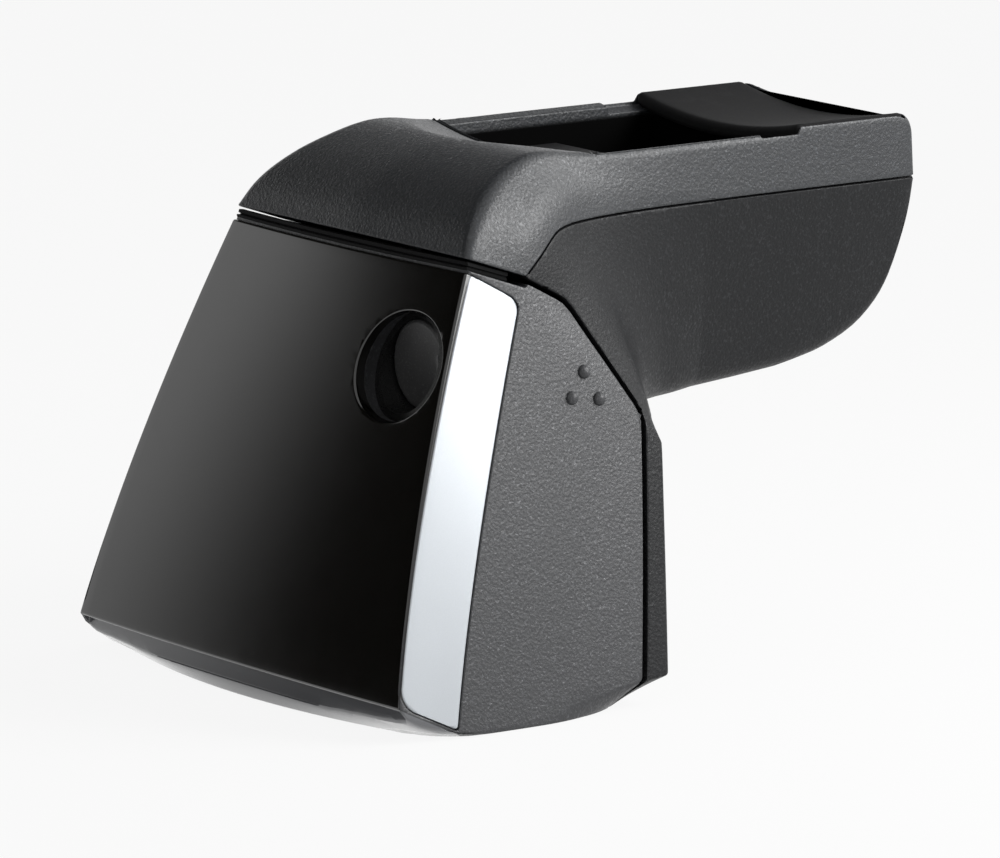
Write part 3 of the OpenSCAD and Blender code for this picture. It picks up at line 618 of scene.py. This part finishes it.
def strip_body(name, side, inset, corners, proud, deep):
    """A strip drawn up its facet: inset from the facet's edges, with a rounding at each corner."""
    low_in, low_out, top_out, top_in = corners

    def facet(t):
        edges = []
        for i, z in ((1, PANEL_Z + (0.3 + (PANEL_H - 0.4) * t) * LEAN_Z),
                     (2, 0.7 + (0.6 + (COVER_TOP - 1.2) * t) * LEAN_Z)):
            low, high = SILL[0][i][2], NECK[0][i][2]
            share = (z - low) / (high - low)
            row = [lerp(a, b, share) for a, b in zip(SILL[0], NECK[0])]
            edges.append(Vector(swell((row, None), share)[0][i]))
        return edges

    def pull(e, r):
        return r - math.sqrt(max(r * r - (r - e) ** 2, 0.0)) if e < r else 0.0

    tall = (facet(1)[0] - facet(0)[0]).length
    arc_steps = [1 - math.cos(math.pi * k / 16) for k in range(9)]
    stops = [inset + low_in * c for c in arc_steps]
    first, last = stops[-1], tall - inset - top_out
    stops += [first + (last - first) * k / 24 for k in range(1, 25)]
    stops += [tall - inset - top_out * c for c in reversed(arc_steps[:-1])]
    p, q = facet(0.5)
    normal = (q - p).cross(facet(0.6)[0] - facet(0.4)[0]).normalized()
    if normal[0] < 0:
        normal = -normal
    flip = Vector((side, 1, 1))
    rings = []
    for e in stops:
        p, q = facet(e / tall)
        wide = (q - p).length
        left = inset + max(pull(e - inset, low_in), pull(tall - inset - e, top_in))
        right = wide - inset - max(pull(e - inset, low_out), pull(tall - inset - e, top_out))
        line = [p.lerp(q, (left + (right - left) * k / 6) / wide) for k in range(7)]
        ring = [c + normal * proud for c in line] + [c - normal * deep for c in reversed(line)]
        rings.append([at(*(c * flip)) for c in ring])
    return loft(name, rings)


# ---------------------------------------------------------------------------------------------
# Finishes
# ---------------------------------------------------------------------------------------------


class Value:
    """A number that varies over a surface. Arithmetic on it adds Math nodes."""

    def __init__(self, finish, socket):
        self.finish, self.socket = finish, socket

    def _maths(self, operation, a, b):
        return Value(self.finish, self.finish.node(
            "ShaderNodeMath", {"operation": operation}, {0: a, 1: b}).outputs[0])

    def __add__(self, other):
        return self._maths("ADD", self, other)

    __radd__ = __add__

    def __sub__(self, other):
        return self._maths("SUBTRACT", self, other)

    def __rsub__(self, other):
        return self._maths("SUBTRACT", other, self)

    def __mul__(self, other):
        return self._maths("MULTIPLY", self, other)

    __rmul__ = __mul__

    def over(self, low, high):
        """0 up to low, 1 from high on, and a ramp between."""
        return Value(self.finish, self.finish.node(
            "ShaderNodeMapRange", {"clamp": True, "interpolation_type": "SMOOTHSTEP"},
            {"Value": self, "From Min": low, "From Max": high}).outputs[0])


class Finish:
    """A material drawn as nodes on Object coordinates."""

    def __init__(self, name):
        self.material = bpy.data.materials.new(name)
        self.material.use_nodes = True
        self.tree = self.material.node_tree
        self.tree.nodes.clear()
        self.out = self.node("ShaderNodeOutputMaterial")
        self.shader = self.node("ShaderNodeBsdfPrincipled")
        self.tree.links.new(self.shader.outputs[0], self.out.inputs[0])
        self.place = self.node("ShaderNodeTexCoord").outputs["Object"]

    def node(self, kind, settings=None, sockets=None):
        n = self.tree.nodes.new(kind)
        for key, value in (settings or {}).items():
            if key == "stops":
                ramp = n.color_ramp
                while len(ramp.elements) < len(value):
                    ramp.elements.new(0.5)
                for element, (position, colour) in zip(ramp.elements, value):
                    element.position, element.color = position, colour
            else:
                setattr(n, key, value)
        for key, value in (sockets or {}).items():
            if isinstance(value, Value):
                value = value.socket
            if isinstance(value, bpy.types.NodeSocket):
                self.tree.links.new(value, n.inputs[key])
            else:
                n.inputs[key].default_value = value
        return n

    def noise(self, size, detail=3.0, rough=0.55, place=None):
        """Soft noise whose features are about size metres wide."""
        return Value(self, self.node(
            "ShaderNodeTexNoise", {}, {"Vector": place or self.place, "Scale": 1 / size,
                                       "Detail": detail, "Roughness": rough}).outputs[0])

    def cells(self, size, place=None):
        """Distance to the middle of small cells."""
        return Value(self, self.node(
            "ShaderNodeTexVoronoi", {"feature": "F1"},
            {"Vector": place or self.place, "Scale": 1 / size}).outputs[0])

    def stretched(self, x, y, z):
        return self.node("ShaderNodeMapping", {}, {"Vector": self.place, "Scale": (x, y, z)}).outputs[0]

    def blend(self, share, a, b):
        """From colour a to colour b."""
        a = (*a, 1) if isinstance(a, (tuple, list)) and len(a) == 3 else a
        b = (*b, 1) if isinstance(b, (tuple, list)) and len(b) == 3 else b
        return self.node("ShaderNodeMix", {"data_type": "RGBA", "clamp_factor": True},
                         {0: share, 6: a, 7: b}).outputs[2]

    def relief(self, height, depth, strength=1.0):
        """A bump of that depth in metres, from a height of 0 to 1."""
        bump = self.node("ShaderNodeBump", {}, {"Height": height, "Distance": depth,
                                                "Strength": strength})
        self.tree.links.new(bump.outputs[0], self.shader.inputs["Normal"])

    def wear(self, **sockets):
        """Sets the shader's sockets, a link where it varies."""
        for key, value in sockets.items():
            socket = self.shader.inputs[key.replace("_", " ")]
            if isinstance(value, Value):
                value = value.socket
            if isinstance(value, bpy.types.NodeSocket):
                self.tree.links.new(value, socket)
            else:
                socket.default_value = (*value, 1) if isinstance(value, (tuple, list)) else value
        return self.material


def scaled(colour, factor):
    return tuple(min(1.0, c * factor) for c in colour)


def moulded(name, colour, grain=0.00042, depth=0.0001, roughness=0.42, shine=0.5, polished=None,
            pocket_shade_box=None):
    """Spark-grained black plastic, polished below a sloping line of the side view if one is given; there its
    colour is also painted lighter, a painted reflection of the bright floor. Inside a box, if one is given, a
    flat near-black paints the pocket's shade.
    """
    f = Finish(name)
    spark = f.noise(grain, 2.5, 0.6)
    pits = f.cells(grain * 1.6)
    cloud = f.noise(0.03, 2.0, 0.5)
    speck = f.noise(grain * 1.3, 1.0).over(0.55, 0.7)
    tone = f.blend(cloud, scaled(colour, 0.88), scaled(colour, 1.12))
    tone = f.blend(speck * 0.6, tone, scaled(colour, 2.6))
    height = spark * 0.8 + pits * 0.5
    rough = roughness - speck * 0.12 + (spark - 0.5) * 0.5 + (cloud - 0.5) * 0.06
    # Painted shade: inside the given box, low in the cap's pocket, a flat near-black diffuse is mixed over the
    # plastic where the pocket lies in shade
    if pocket_shade_box:
        half, front, back, top = pocket_shade_box
        axes = f.node("ShaderNodeSeparateXYZ", {}, {0: f.place}).outputs
        across = Value(f, f.node("ShaderNodeMath", {"operation": "ABSOLUTE"}, {0: axes[0]}).outputs[0])
        along, up = Value(f, axes[1]), Value(f, axes[2])
        deep = ((1 - across.over(half, half + 0.0002)) * along.over(front - 0.0002, front)
                * (1 - along.over(back, back + 0.0002)) * (1 - up.over(top - 0.0012, top)))
        painted_pocket_shade = f.node("ShaderNodeBsdfDiffuse", {}, {"Color": (0.004, 0.004, 0.004, 1)})
        mix = f.node("ShaderNodeMixShader", {}, {0: deep, 1: f.shader.outputs[0], 2: painted_pocket_shade.outputs[0]})
        f.tree.links.new(mix.outputs[0], f.out.inputs[0])
    if polished is None:
        f.relief(height, depth)
        return f.wear(Base_Color=tone, Roughness=rough, Specular_IOR_Level=shine)
    # Below the line: smooth, clear-coated gloss, with a base colour 3.8 times lighter as painted reflection of
    # the floor
    axes = f.node("ShaderNodeSeparateXYZ", {}, {0: f.place}).outputs
    matt = (Value(f, axes[2]) + Value(f, axes[1]) * 0.49).over(polished - 0.0001, polished + 0.0001)
    f.relief(height * matt, depth)
    return f.wear(Base_Color=f.blend(matt, scaled(colour, 3.8), tone), Specular_IOR_Level=shine,
                  Roughness=0.2 + (rough - 0.2) * matt, Coat_Weight=1 - matt, Coat_Roughness=0.15)


def gloss_black(name, colour):
    """Piano-gloss plastic under a clear coat."""
    f = Finish(name)
    wave = f.noise(0.022, 1.5, 0.4)
    haze = f.noise(0.0045, 3.0, 0.6)
    dust = f.noise(0.0006, 1.0).over(0.72, 0.8)
    tone = f.blend(dust * 0.25, f.blend(wave, scaled(colour, 0.85), scaled(colour, 1.2)),
                   (0.02, 0.02, 0.02))
    f.relief(wave, 0.00002, 0.5)
    return f.wear(Base_Color=tone, Roughness=0.11 + haze * 0.05 + dust * 0.1, Coat_Weight=0.35,
                  Coat_Roughness=0.04, Specular_IOR_Level=0.5)


def strip_paint_with_painted_reflection(name, colour):
    """Fine-flake silver lacquer on plastic; its light colour is in part a painted reflection of a bright
    light, so the strips show bright from every side.
    """
    f = Finish(name)
    flake = f.cells(0.00016)
    cloud = f.noise(0.02, 2.0)
    tone = f.blend(cloud, scaled(colour, 0.96), scaled(colour, 1.04))
    tone = f.blend(flake.over(0.15, 0.6) * 0.3, tone, scaled(colour, 0.84))
    f.relief(f.noise(0.0004, 2.0), 0.000004, 0.6)
    return f.wear(Base_Color=tone, Metallic=0.35, Roughness=0.34 + (flake - 0.4) * 0.12,
                  Coat_Weight=0.25, Coat_Roughness=0.18)


def rubber(name, colour):
    f = Finish(name)
    grain = f.noise(0.00022, 2.0, 0.6)
    cloud = f.noise(0.008, 3.0)
    bloom = f.noise(0.004, 4.0, 0.65).over(0.52, 0.75)
    tone = f.blend(bloom * 0.35, f.blend(cloud, scaled(colour, 0.85), scaled(colour, 1.15)),
                   scaled(colour, 2.0))
    f.relief(grain, 0.00002)
    return f.wear(Base_Color=tone, Roughness=0.7 + (grain - 0.5) * 0.3, Specular_IOR_Level=0.1)


def casting(name, colour):
    """Sand-blasted die casting."""
    f = Finish(name)
    blast = f.noise(0.00045, 3.0, 0.65)
    pits = f.cells(0.0009)
    cloud = f.noise(0.012, 3.0)
    tone = f.blend(cloud, scaled(colour, 0.82), scaled(colour, 1.08))
    tone = f.blend((1 - pits.over(0.05, 0.35)) * 0.35, tone, scaled(colour, 0.6))
    f.relief(blast * 0.7 + pits * 0.3, 0.00005)
    return f.wear(Base_Color=tone, Metallic=0.2, Roughness=0.5 + (blast - 0.5) * 0.3)


def plated(name, colour, roughness=0.28, along=(60, 60, 1400)):
    """Turned and plated steel or brass."""
    f = Finish(name)
    turned = f.noise(1.0, 2.0, 0.6, f.stretched(*along))
    cloud = f.noise(0.006, 3.0)
    tone = f.blend(cloud, scaled(colour, 0.9), scaled(colour, 1.05))
    f.relief(turned, 0.000012)
    return f.wear(Base_Color=tone, Metallic=1.0,
                  Roughness=roughness + (turned - 0.5) * 0.16 + (cloud - 0.5) * 0.1)


# ---------------------------------------------------------------------------------------------
# The pieces
# ---------------------------------------------------------------------------------------------


class ROOFBARFOOT_OT_housing(bpy.types.Operator):
    """The rear housing with the arm's lower shell"""
    bl_idname = "roof_bar_foot.housing"
    bl_label = "Rear Housing"

    def execute(self, context):
        shells = context.scene.roof_bar_foot_shells
        wall = shells.wall / MM
        obj = outer_body("housing")
        carve(obj, over_part_line("t", -0.25), cover_gap_block("t"), inner_body("t", wall),
              box("t", (-38, 20, -2), (38, 54.4, 8)))
        tidy_mesh(obj, flat=0)
        soften(obj, shells.edge)
        smooth(obj)
        # Painted shade: the housing and arm get a darker colour for the housing's shaded side
        dress(obj, "foot", "shell", moulded("grained_black_painted_shade", shells.body_colour_with_painted_shade, shine=0.2),
              "rear_housing")
        return {"FINISHED"}


class ROOFBARFOOT_OT_cap(bpy.types.Operator):
    """The cap over the arm, with the saddle, the pocket and the pad's seat"""
    bl_idname = "roof_bar_foot.cap"
    bl_label = "Top Cap"

    def execute(self, context):
        shells = context.scene.roof_bar_foot_shells
        wall = shells.wall / MM
        obj = outer_body("cap")
        carve(obj, over_part_line("t"), how="INTERSECT")
        half, y0, y1 = POCKET
        floor = SADDLE_LOW - PAD_T - 3
        room = inner_body("room", wall)
        carve(room, box("t", (-half - wall, y0 - wall, 70), (half + wall, y1 + wall, 110)),
              box("t", (-30, y1, floor), (30, 140, 110)))
        slope = math.radians(16)
        ahead = Vector((0, -math.cos(slope), math.sin(slope)))
        square = Vector((0, math.sin(slope), math.cos(slope)))

        def saddle(drop, start, end):
            """The hollow that the bar lies in: level over the pocket, and its ramp at the brow."""
            low = SADDLE_LOW - PAD_PROUD - drop
            level = round_bar("t", [at(0, start, low + SADDLE_R), at(0, end, low + SADDLE_R)],
                              [SADDLE_R, SADDLE_R], 360)
            foot = at(0, start + 0.2, low) + square * SADDLE_R * MM
            ramp = round_bar("t", [foot, foot + ahead * 0.024], [SADDLE_R, SADDLE_R], 360)
            return level, ramp

        seat_axis = SADDLE_LOW - PAD_T + SADDLE_R
        seat = round_bar("t", [at(0, PAD_Y0 - 8, seat_axis), at(0, REACH - 1.85, seat_axis)],
                         [SADDLE_R, SADDLE_R], 360)
        carve(seat, box("t", (-PAD_HALF - 0.15, PAD_Y0 - 9, 80), (PAD_HALF + 0.15, REACH, 140)),
              how="INTERSECT")
        carve(room, *saddle(wall, y0 - 1 - wall, y1))
        rim = round_bar("t", [at(0, PAD_Y0 - 1, SADDLE_LOW + SADDLE_R), at(0, 140, SADDLE_LOW + SADDLE_R)],
                        [SADDLE_R, SADDLE_R], 360)
        carve(obj, *saddle(0.0, y0 - 1, PAD_Y0 - 0.15), rim, room,
              box("t", (-half, y0, 60), (half, y1, 110)), seat)
        tidy_mesh(obj, flat=0)
        soften(obj, shells.edge)
        smooth(obj)
        # The cap's finish paints shade into its pocket: near-black inside the box given last
        dress(obj, "foot", "cap", moulded("grained_cap_painted_pocket_shade", shells.cap_colour,
                                            pocket_shade_box=(0.0217, -0.0044, 0.0417, 0.0918)), "top_cap")
        return {"FINISHED"}


class ROOFBARFOOT_OT_cover(bpy.types.Operator):
    """The hinged cover's shell, with its bumps, boss and knuckles"""
    bl_idname = "roof_bar_foot.cover"
    bl_label = "Cover Shell"

    def execute(self, context):
        shells = context.scene.roof_bar_foot_shells
        wall = shells.wall / MM
        obj = outer_body("cover")
        carve(obj, cover_block("t"), how="INTERSECT")
        room = inner_body("room", wall)
        lid = side_block("t", [square_to_panel(COVER_TOP - wall, 60), square_to_panel(COVER_TOP - wall, -8),
                               (-20, 60), (-20, -5), (90, -5)])
        carve(room, lid, how="INTERSECT")
        carve(room, front_sheet("t", 1.0, 4.0, 6.0))
        carve(obj, room)
        boss = round_bar("t", [at(LOCK_X, LOCK_FRONT - 4, LOCK_Z), at(LOCK_X, 27.4, LOCK_Z)],
                         [BOSS_R, BOSS_R])
        collar = round_bar("t", [at(LOCK_X + 2.2, LOCK_FRONT - 4, LOCK_Z + 0.6),
                                 at(LOCK_X + 2.2, LOCK_FRONT + 6.4, LOCK_Z + 0.6)], [13.1, 13.1])
        carve(obj, boss, collar, how="UNION")
        for s in (-1, 1):
            x0 = 22 if s > 0 else -30
            arm = side_block("t", [(2.2, 5), (10.3, 5), (10.3, 12), (2.2, 12)], 4)
            arm.data.transform(Matrix.Translation(((x0 + 4) * MM, 0, 0)))
            knuckle = round_bar("t", [at(x0, HINGE_Y, HINGE_Z), at(x0 + 8, HINGE_Y, HINGE_Z)],
                                [KNUCKLE_R, KNUCKLE_R])
            carve(obj, arm, knuckle, how="UNION")
            pin = [at(x0 - 1, HINGE_Y, HINGE_Z), at(x0 + 9, HINGE_Y, HINGE_Z)]
            carve(obj, round_bar("t", pin, [PIN_BORE_R, PIN_BORE_R], 32))
        for s in (-1, 1):
            carve(obj, strip_body("t", s, 0.12, (3.0, 0.7, 2.2, 0.6), 1.5, 1.75))
        carve(obj, front_sheet("t", 0.12, 2.1, 9.0), mouth_cutter("t"),
              round_bar("t", [at(LOCK_X, -5, LOCK_Z), at(LOCK_X, 40, LOCK_Z)], [SLEEVE_BORE_R, SLEEVE_BORE_R]))
        tidy_mesh(obj, flat=0)
        soften(obj, shells.edge)
        for s in (-1, 1):
            for y, z in BUMPS:
                met, spot, _, _ = obj.ray_cast(at(s * 90, y, z), Vector((-s, 0, 0)))
                if not met:
                    raise RuntimeError("a bump found no wall")
                bump = round_bar("t", [spot + Vector((s * h * MM, 0, 0)) for h in
                                       (-1.2, -0.2, 0.15, 0.45, 0.7, 0.88, 0.98, 1.02)],
                                 [1.25, 1.25, 1.22, 1.1, 0.9, 0.62, 0.33, 0.08], 32)
                carve(obj, bump, how="UNION")
        smooth(obj)
        # The skirt below the sloping line is clear-coated and painted lighter, a painted reflection of the
        # floor
        dress(obj, "cover", "cover", moulded("grained_grey", shells.cover_colour,
                                               polished=-0.02563), "cover_shell")
        return {"FINISHED"}


class ROOFBARFOOT_OT_panel(bpy.types.Operator):
    """The gloss panel with the lock's mouth"""
    bl_idname = "roof_bar_foot.panel"
    bl_label = "Gloss Panel"

    def execute(self, context):
        faces = context.scene.roof_bar_foot_front
        obj = front_sheet("panel", -0.08, 2.0, 0.0, -0.25)
        soften(obj, faces.panel_edge, 3, 40)
        carve(obj, mouth_cutter("t"))
        tidy_mesh(obj, 0.00001, 0, 0.00001)
        smooth(obj, 40)
        dress(obj, "cover", "gloss", gloss_black("gloss_black", faces.panel_colour), "gloss_panel")
        return {"FINISHED"}


class ROOFBARFOOT_OT_strips(bpy.types.Operator):
    """The two silver strips beside the panel, whose light grey is in part a painted reflection"""
    bl_idname = "roof_bar_foot.strips"
    bl_label = "Silver Strips"

    def execute(self, context):
        faces = context.scene.roof_bar_foot_front
        paint = strip_paint_with_painted_reflection("strip_lacquer_painted_reflection", faces.strip_colour_with_painted_reflection)
        for side, name, node in ((-1, "strip_left", "trim_left"), (1, "strip_right", "trim_right")):
            corner = faces.strip_round / MM
            obj = strip_body(name, side, 0.25, (corner, 0.8, 2.3, 0.7), 0.0, 1.6)
            soften(obj, 0.0003, 3, 40)
            smooth(obj)
            dress(obj, "cover", "bright", paint, node)
        return {"FINISHED"}


class ROOFBARFOOT_OT_seal(bpy.types.Operator):
    """The rubber seal on the cover's top edge"""
    bl_idname = "roof_bar_foot.seal"
    bl_label = "Cover Seal"

    def execute(self, context):
        fit = context.scene.roof_bar_foot_fittings
        rings = []
        for v, d in ((75.85, 0.9), (76.0, 0.4), (76.4, 0.25), (76.55, 0.6), (76.7, 0.7),
                     (76.85, 0.35), (77.4, 0.3), (77.58, 0.8)):
            y0, z0 = square_to_panel(v, d)
            y1, z1 = square_to_panel(v, 9)
            half = half_panel(v) - d
            ring = []
            for k in range(25):
                u = -1 + k / 12
                ring.append(at(u * half, y0 - CROWN * (1 - u * u) - 0.7, z0))
            ring += [at(half - 0.6, y1, z1), at(-half + 0.6, y1, z1)]
            rings.append(ring)
        obj = loft("seal", rings)
        smooth(obj, 50)
        dress(obj, "cover", "seal", rubber("seal_rubber", scaled(fit.rubber_colour, 0.7)), "cover_seal")
        return {"FINISHED"}


class ROOFBARFOOT_OT_pad(bpy.types.Operator):
    """The rubber saddle pad at the arm's end"""
    bl_idname = "roof_bar_foot.pad"
    bl_label = "Saddle Pad"

    def execute(self, context):
        fit = context.scene.roof_bar_foot_fittings
        rings = []
        y1 = REACH - 2
        for y in [PAD_Y0 + (y1 - PAD_Y0) * k / 12 for k in range(13)]:
            top = []
            for k in range(41):
                x = PAD_HALF * (-1 + k / 20)
                drop = SADDLE_R - math.sqrt(SADDLE_R ** 2 - x * x)
                top.append(at(x, y, SADDLE_LOW + drop))
            low = [p - Vector((0, 0, PAD_T * MM)) for p in reversed(top)]
            rings.append(top + low)
        obj = loft("pad", rings)
        soften(obj, fit.pad_edge, 3, 40)
        smooth(obj)
        dress(obj, "foot", "pad", rubber("pad_rubber", fit.rubber_colour), "saddle_pad")
        return {"FINISHED"}


class ROOFBARFOOT_OT_lock(bpy.types.Operator):
    """The lock's plug"""
    bl_idname = "roof_bar_foot.lock"
    bl_label = "Lock"

    def execute(self, context):
        fit = context.scene.roof_bar_foot_fittings
        y0 = LOCK_FRONT + PLUG_DEPTH
        places, radii = [], []
        for back, r in ((0.45, 0.2), (0.36, 2.5), (0.2, 4.6), (0.02, 6.6), (-0.1, 7.2), (-0.1, 7.6),
                        (0.3, PLUG_R), (16.3, PLUG_R), (16.3, 3.5), (18.2, 3.5)):
            places.append(at(LOCK_X, y0 + back, LOCK_Z))
            radii.append(r)
        plug = round_bar("plug", places, radii, 96)
        carve(plug, box("t", (LOCK_X + 5.4, y0 - 1, LOCK_Z - 2.4), (LOCK_X + 9.4, y0 + 3, LOCK_Z + 2.4)))
        tidy_mesh(plug, flat=0)
        soften(plug, 0.00025, 2, 40)
        smooth(plug)
        dress(plug, "lock", "shell", moulded("plug_black", fit.plug_colour, 0.0003, 0.000012, 0.4),
              "lock_plug")
        return {"FINISHED"}


class ROOFBARFOOT_OT_metalwork(bpy.types.Operator):
    """The chassis, bolt, lock parts and screws that the drawing already shapes"""
    bl_idname = "roof_bar_foot.metalwork"
    bl_label = "Metalwork"

    def execute(self, context):
        fit = context.scene.roof_bar_foot_fittings
        cast = casting("blasted_casting", fit.casting_colour)
        zinc = plated("zinc_plate", (0.55, 0.56, 0.58))
        steel = plated("bright_steel", (0.5, 0.51, 0.53), 0.24, (1400, 1400, 60))
        brass = plated("brass", (0.62, 0.46, 0.2), 0.3)
        keeper = plated("zinc_keeper", (0.5, 0.51, 0.53), 0.36, (300, 300, 300))
        sleeve = moulded("sleeve_black", (0.006, 0.006, 0.006), 0.00025, 0.00001, 0.35)
        wanted = {
            "chassis": cast, "housing_screws": zinc, "cap_screws": zinc, "hinge_pins": steel,
            "lock_keeper": keeper, "keeper_screws": zinc, "bolt_bush": brass,
            "lock_sleeve": sleeve, "sleeve_nut": keeper, "lock_cam": keeper, "cam_screw": zinc,
            "clamp_bolt": zinc, "bolt_washer": zinc, "bolt_collar": zinc, "clip_carrier": cast,
            "clip_pin": steel,
        }
        for name, material in wanted.items():
            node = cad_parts[name]
            node.data.materials.clear()
            node.data.materials.append(material)
        return {"FINISHED"}


class ROOFBARFOOT_OT_stage(bpy.types.Operator):
    """Floor, studio lamps and the camera"""
    bl_idname = "roof_bar_foot.stage"
    bl_label = "Stage"

    def execute(self, context):
        stage = context.scene.roof_bar_foot_stage
        scene = context.scene
        scene.view_settings.view_transform = "Standard"
        pick()
        bpy.ops.mesh.primitive_plane_add(size=12, location=(0, 0, 0))
        floor = bpy.context.object
        floor.name = "studio_floor"
        f = Finish("studio_paper")
        tone = f.blend(f.noise(0.4, 2.0), scaled(stage.floor, 0.98), scaled(stage.floor, 1.02))
        f.wear(Base_Color=tone, Roughness=0.85)
        glow = f.node("ShaderNodeEmission", {}, {"Color": (1, 1, 1, 1), "Strength": 1.0})
        seen = f.node("ShaderNodeLightPath").outputs
        share = f.node("ShaderNodeMath", {"operation": "MAXIMUM"}, {
            0: Value(f, seen["Is Camera Ray"]) * 0.9, 1: seen["Is Glossy Ray"]}).outputs[0]
        mix = f.node("ShaderNodeMixShader", {}, {0: share, 1: f.shader.outputs[0], 2: glow.outputs[0]})
        f.tree.links.new(mix.outputs[0], f.out.inputs[0])
        floor.data.materials.append(f.material)

        world = bpy.data.worlds.new("studio")
        scene.world = world
        world.use_nodes = True
        nodes, links = world.node_tree.nodes, world.node_tree.links
        nodes.clear()
        out = nodes.new("ShaderNodeOutputWorld")
        path = nodes.new("ShaderNodeLightPath")
        plain = nodes.new("ShaderNodeBackground")
        plain.inputs[0].default_value, plain.inputs[1].default_value = (1, 1, 1, 1), 0.25
        seen = nodes.new("ShaderNodeBackground")
        seen.inputs[0].default_value, seen.inputs[1].default_value = (1, 1, 1, 1), 1.0
        most = nodes.new("ShaderNodeMath")
        most.operation = "MAXIMUM"
        links.new(path.outputs["Is Camera Ray"], most.inputs[0])
        links.new(path.outputs["Is Glossy Ray"], most.inputs[1])
        more = nodes.new("ShaderNodeMath")
        more.operation = "MAXIMUM"
        links.new(most.outputs[0], more.inputs[0])
        links.new(path.outputs["Is Transmission Ray"], more.inputs[1])
        mix = nodes.new("ShaderNodeMixShader")
        links.new(more.outputs[0], mix.inputs[0])
        links.new(plain.outputs[0], mix.inputs[1])
        links.new(seen.outputs[0], mix.inputs[2])
        links.new(mix.outputs[0], out.inputs[0])

        # Dark cards at the left, which the gloss panel and the cap's front mirror
        for name, corners, soft in (
                ("card_front", ((-1.05, -0.55, -0.05), (-0.35, -1.25, -0.05),
                                (-0.35, -1.25, 1.1), (-1.05, -0.55, 1.1)), 0.55),
                ("card_roof", ((-1.2, 0.8, 0.42), (-1.2, -0.9, 0.42),
                               (-0.25, -1.0, 1.15), (-0.25, 0.8, 1.15)), 0.0)):
            pick()
            bpy.ops.mesh.primitive_plane_add(size=1)
            card = bpy.context.object
            card.name = name
            for v, corner in zip(card.data.vertices, (corners[0], corners[1], corners[3], corners[2])):
                v.co = corner
            f = Finish(name)
            black = f.node("ShaderNodeEmission", {}, {"Color": (0.02, 0.019, 0.017, 1), "Strength": 1})
            clear = f.node("ShaderNodeBsdfTransparent")
            along = f.node("ShaderNodeSeparateXYZ", {}, {0: f.place}).outputs
            edge = Value(f, along[0]).over(-1.045, -0.842) if soft else Value(f, along[2]).over(0.45, 0.6)
            mix = f.node("ShaderNodeMixShader", {}, {0: edge, 1: clear.outputs[0], 2: black.outputs[0]})
            f.tree.links.new(mix.outputs[0], f.out.inputs[0])
            card.data.materials.append(f.material)
            card.visible_camera = card.visible_shadow = card.visible_diffuse = False

        for name, where, size, power in (("key", (0.255, 0.296, 0.33), 0.24, 1.5),
                                         ("side", (0.37, 0.2, 0.2), 0.16, 0.6),
                                         ("back", (-0.1, 0.9, 0.6), 0.8, 1.5)):
            bpy.ops.object.light_add(type="AREA", location=where)
            lamp = bpy.context.object
            lamp.name = "lamp_" + name
            lamp.data.size = size
            lamp.data.energy = power * stage.light
            lamp.rotation_euler = (Vector((0, 0, 0.05)) - Vector(where)).to_track_quat("-Z", "Y").to_euler()

        turn, rise = math.radians(54.22), math.radians(10.73)
        right = Vector((math.cos(turn), math.sin(turn), 0))
        ahead = Vector((-math.sin(turn) * math.cos(rise), math.cos(turn) * math.cos(rise), -math.sin(rise)))
        up = right.cross(ahead)
        bpy.ops.object.camera_add()
        cam = bpy.context.object
        cam.name = "photo_camera"
        spot = at(1278.61, -864.35, 339.79)
        m = Matrix((right, up, -ahead)).transposed().to_4x4()
        m.translation = spot
        cam.matrix_world = m
        cam.data.sensor_fit, cam.data.sensor_width, cam.data.lens = "HORIZONTAL", 36, 324
        cam.data.clip_start, cam.data.clip_end = 0.05, 50
        scene.camera = cam
        return {"FINISHED"}


class ROOFBARFOOT_PT_panel(bpy.types.Panel):
    bl_idname = "ROOFBARFOOT_PT_panel"
    bl_label = "Roof Bar Foot"
    bl_space_type = "VIEW_3D"
    bl_region_type = "UI"
    bl_category = "Roof Bar Foot"

    def draw(self, context):
        layout, scene = self.layout, context.scene
        for group in (scene.roof_bar_foot_shells, scene.roof_bar_foot_front,
                      scene.roof_bar_foot_fittings, scene.roof_bar_foot_stage):
            column = layout.column(align=True)
            for key in group.bl_rna.properties.keys():
                if key not in ("rna_type", "name"):
                    column.prop(group, key)
        for step in STEPS_IN_ORDER:
            layout.operator(step.bl_idname)


GROUPS = (
    (RoofBarFootShells, "roof_bar_foot_shells"),
    (RoofBarFootFront, "roof_bar_foot_front"),
    (RoofBarFootFittings, "roof_bar_foot_fittings"),
    (RoofBarFootStage, "roof_bar_foot_stage"),
)
STEPS_IN_ORDER = (
    ROOFBARFOOT_OT_stage,
    ROOFBARFOOT_OT_housing,
    ROOFBARFOOT_OT_cap,
    ROOFBARFOOT_OT_cover,
    ROOFBARFOOT_OT_panel,
    ROOFBARFOOT_OT_strips,
    ROOFBARFOOT_OT_seal,
    ROOFBARFOOT_OT_pad,
    ROOFBARFOOT_OT_lock,
    ROOFBARFOOT_OT_metalwork,
)


def register():
    for group, name in GROUPS:
        bpy.utils.register_class(group)
        setattr(bpy.types.Scene, name, PointerProperty(type=group))
    for step in STEPS_IN_ORDER:
        bpy.utils.register_class(step)
    bpy.utils.register_class(ROOFBARFOOT_PT_panel)


def unregister():
    bpy.utils.unregister_class(ROOFBARFOOT_PT_panel)
    for step in reversed(STEPS_IN_ORDER):
        bpy.utils.unregister_class(step)
    for group, name in reversed(GROUPS):
        delattr(bpy.types.Scene, name)
        bpy.utils.unregister_class(group)


def main():
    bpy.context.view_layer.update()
    register()
    for step in STEPS_IN_ORDER:
        group, name = step.bl_idname.split(".")
        getattr(getattr(bpy.ops, group), name)()
    pick()


if __name__ == "__main__":
    main()
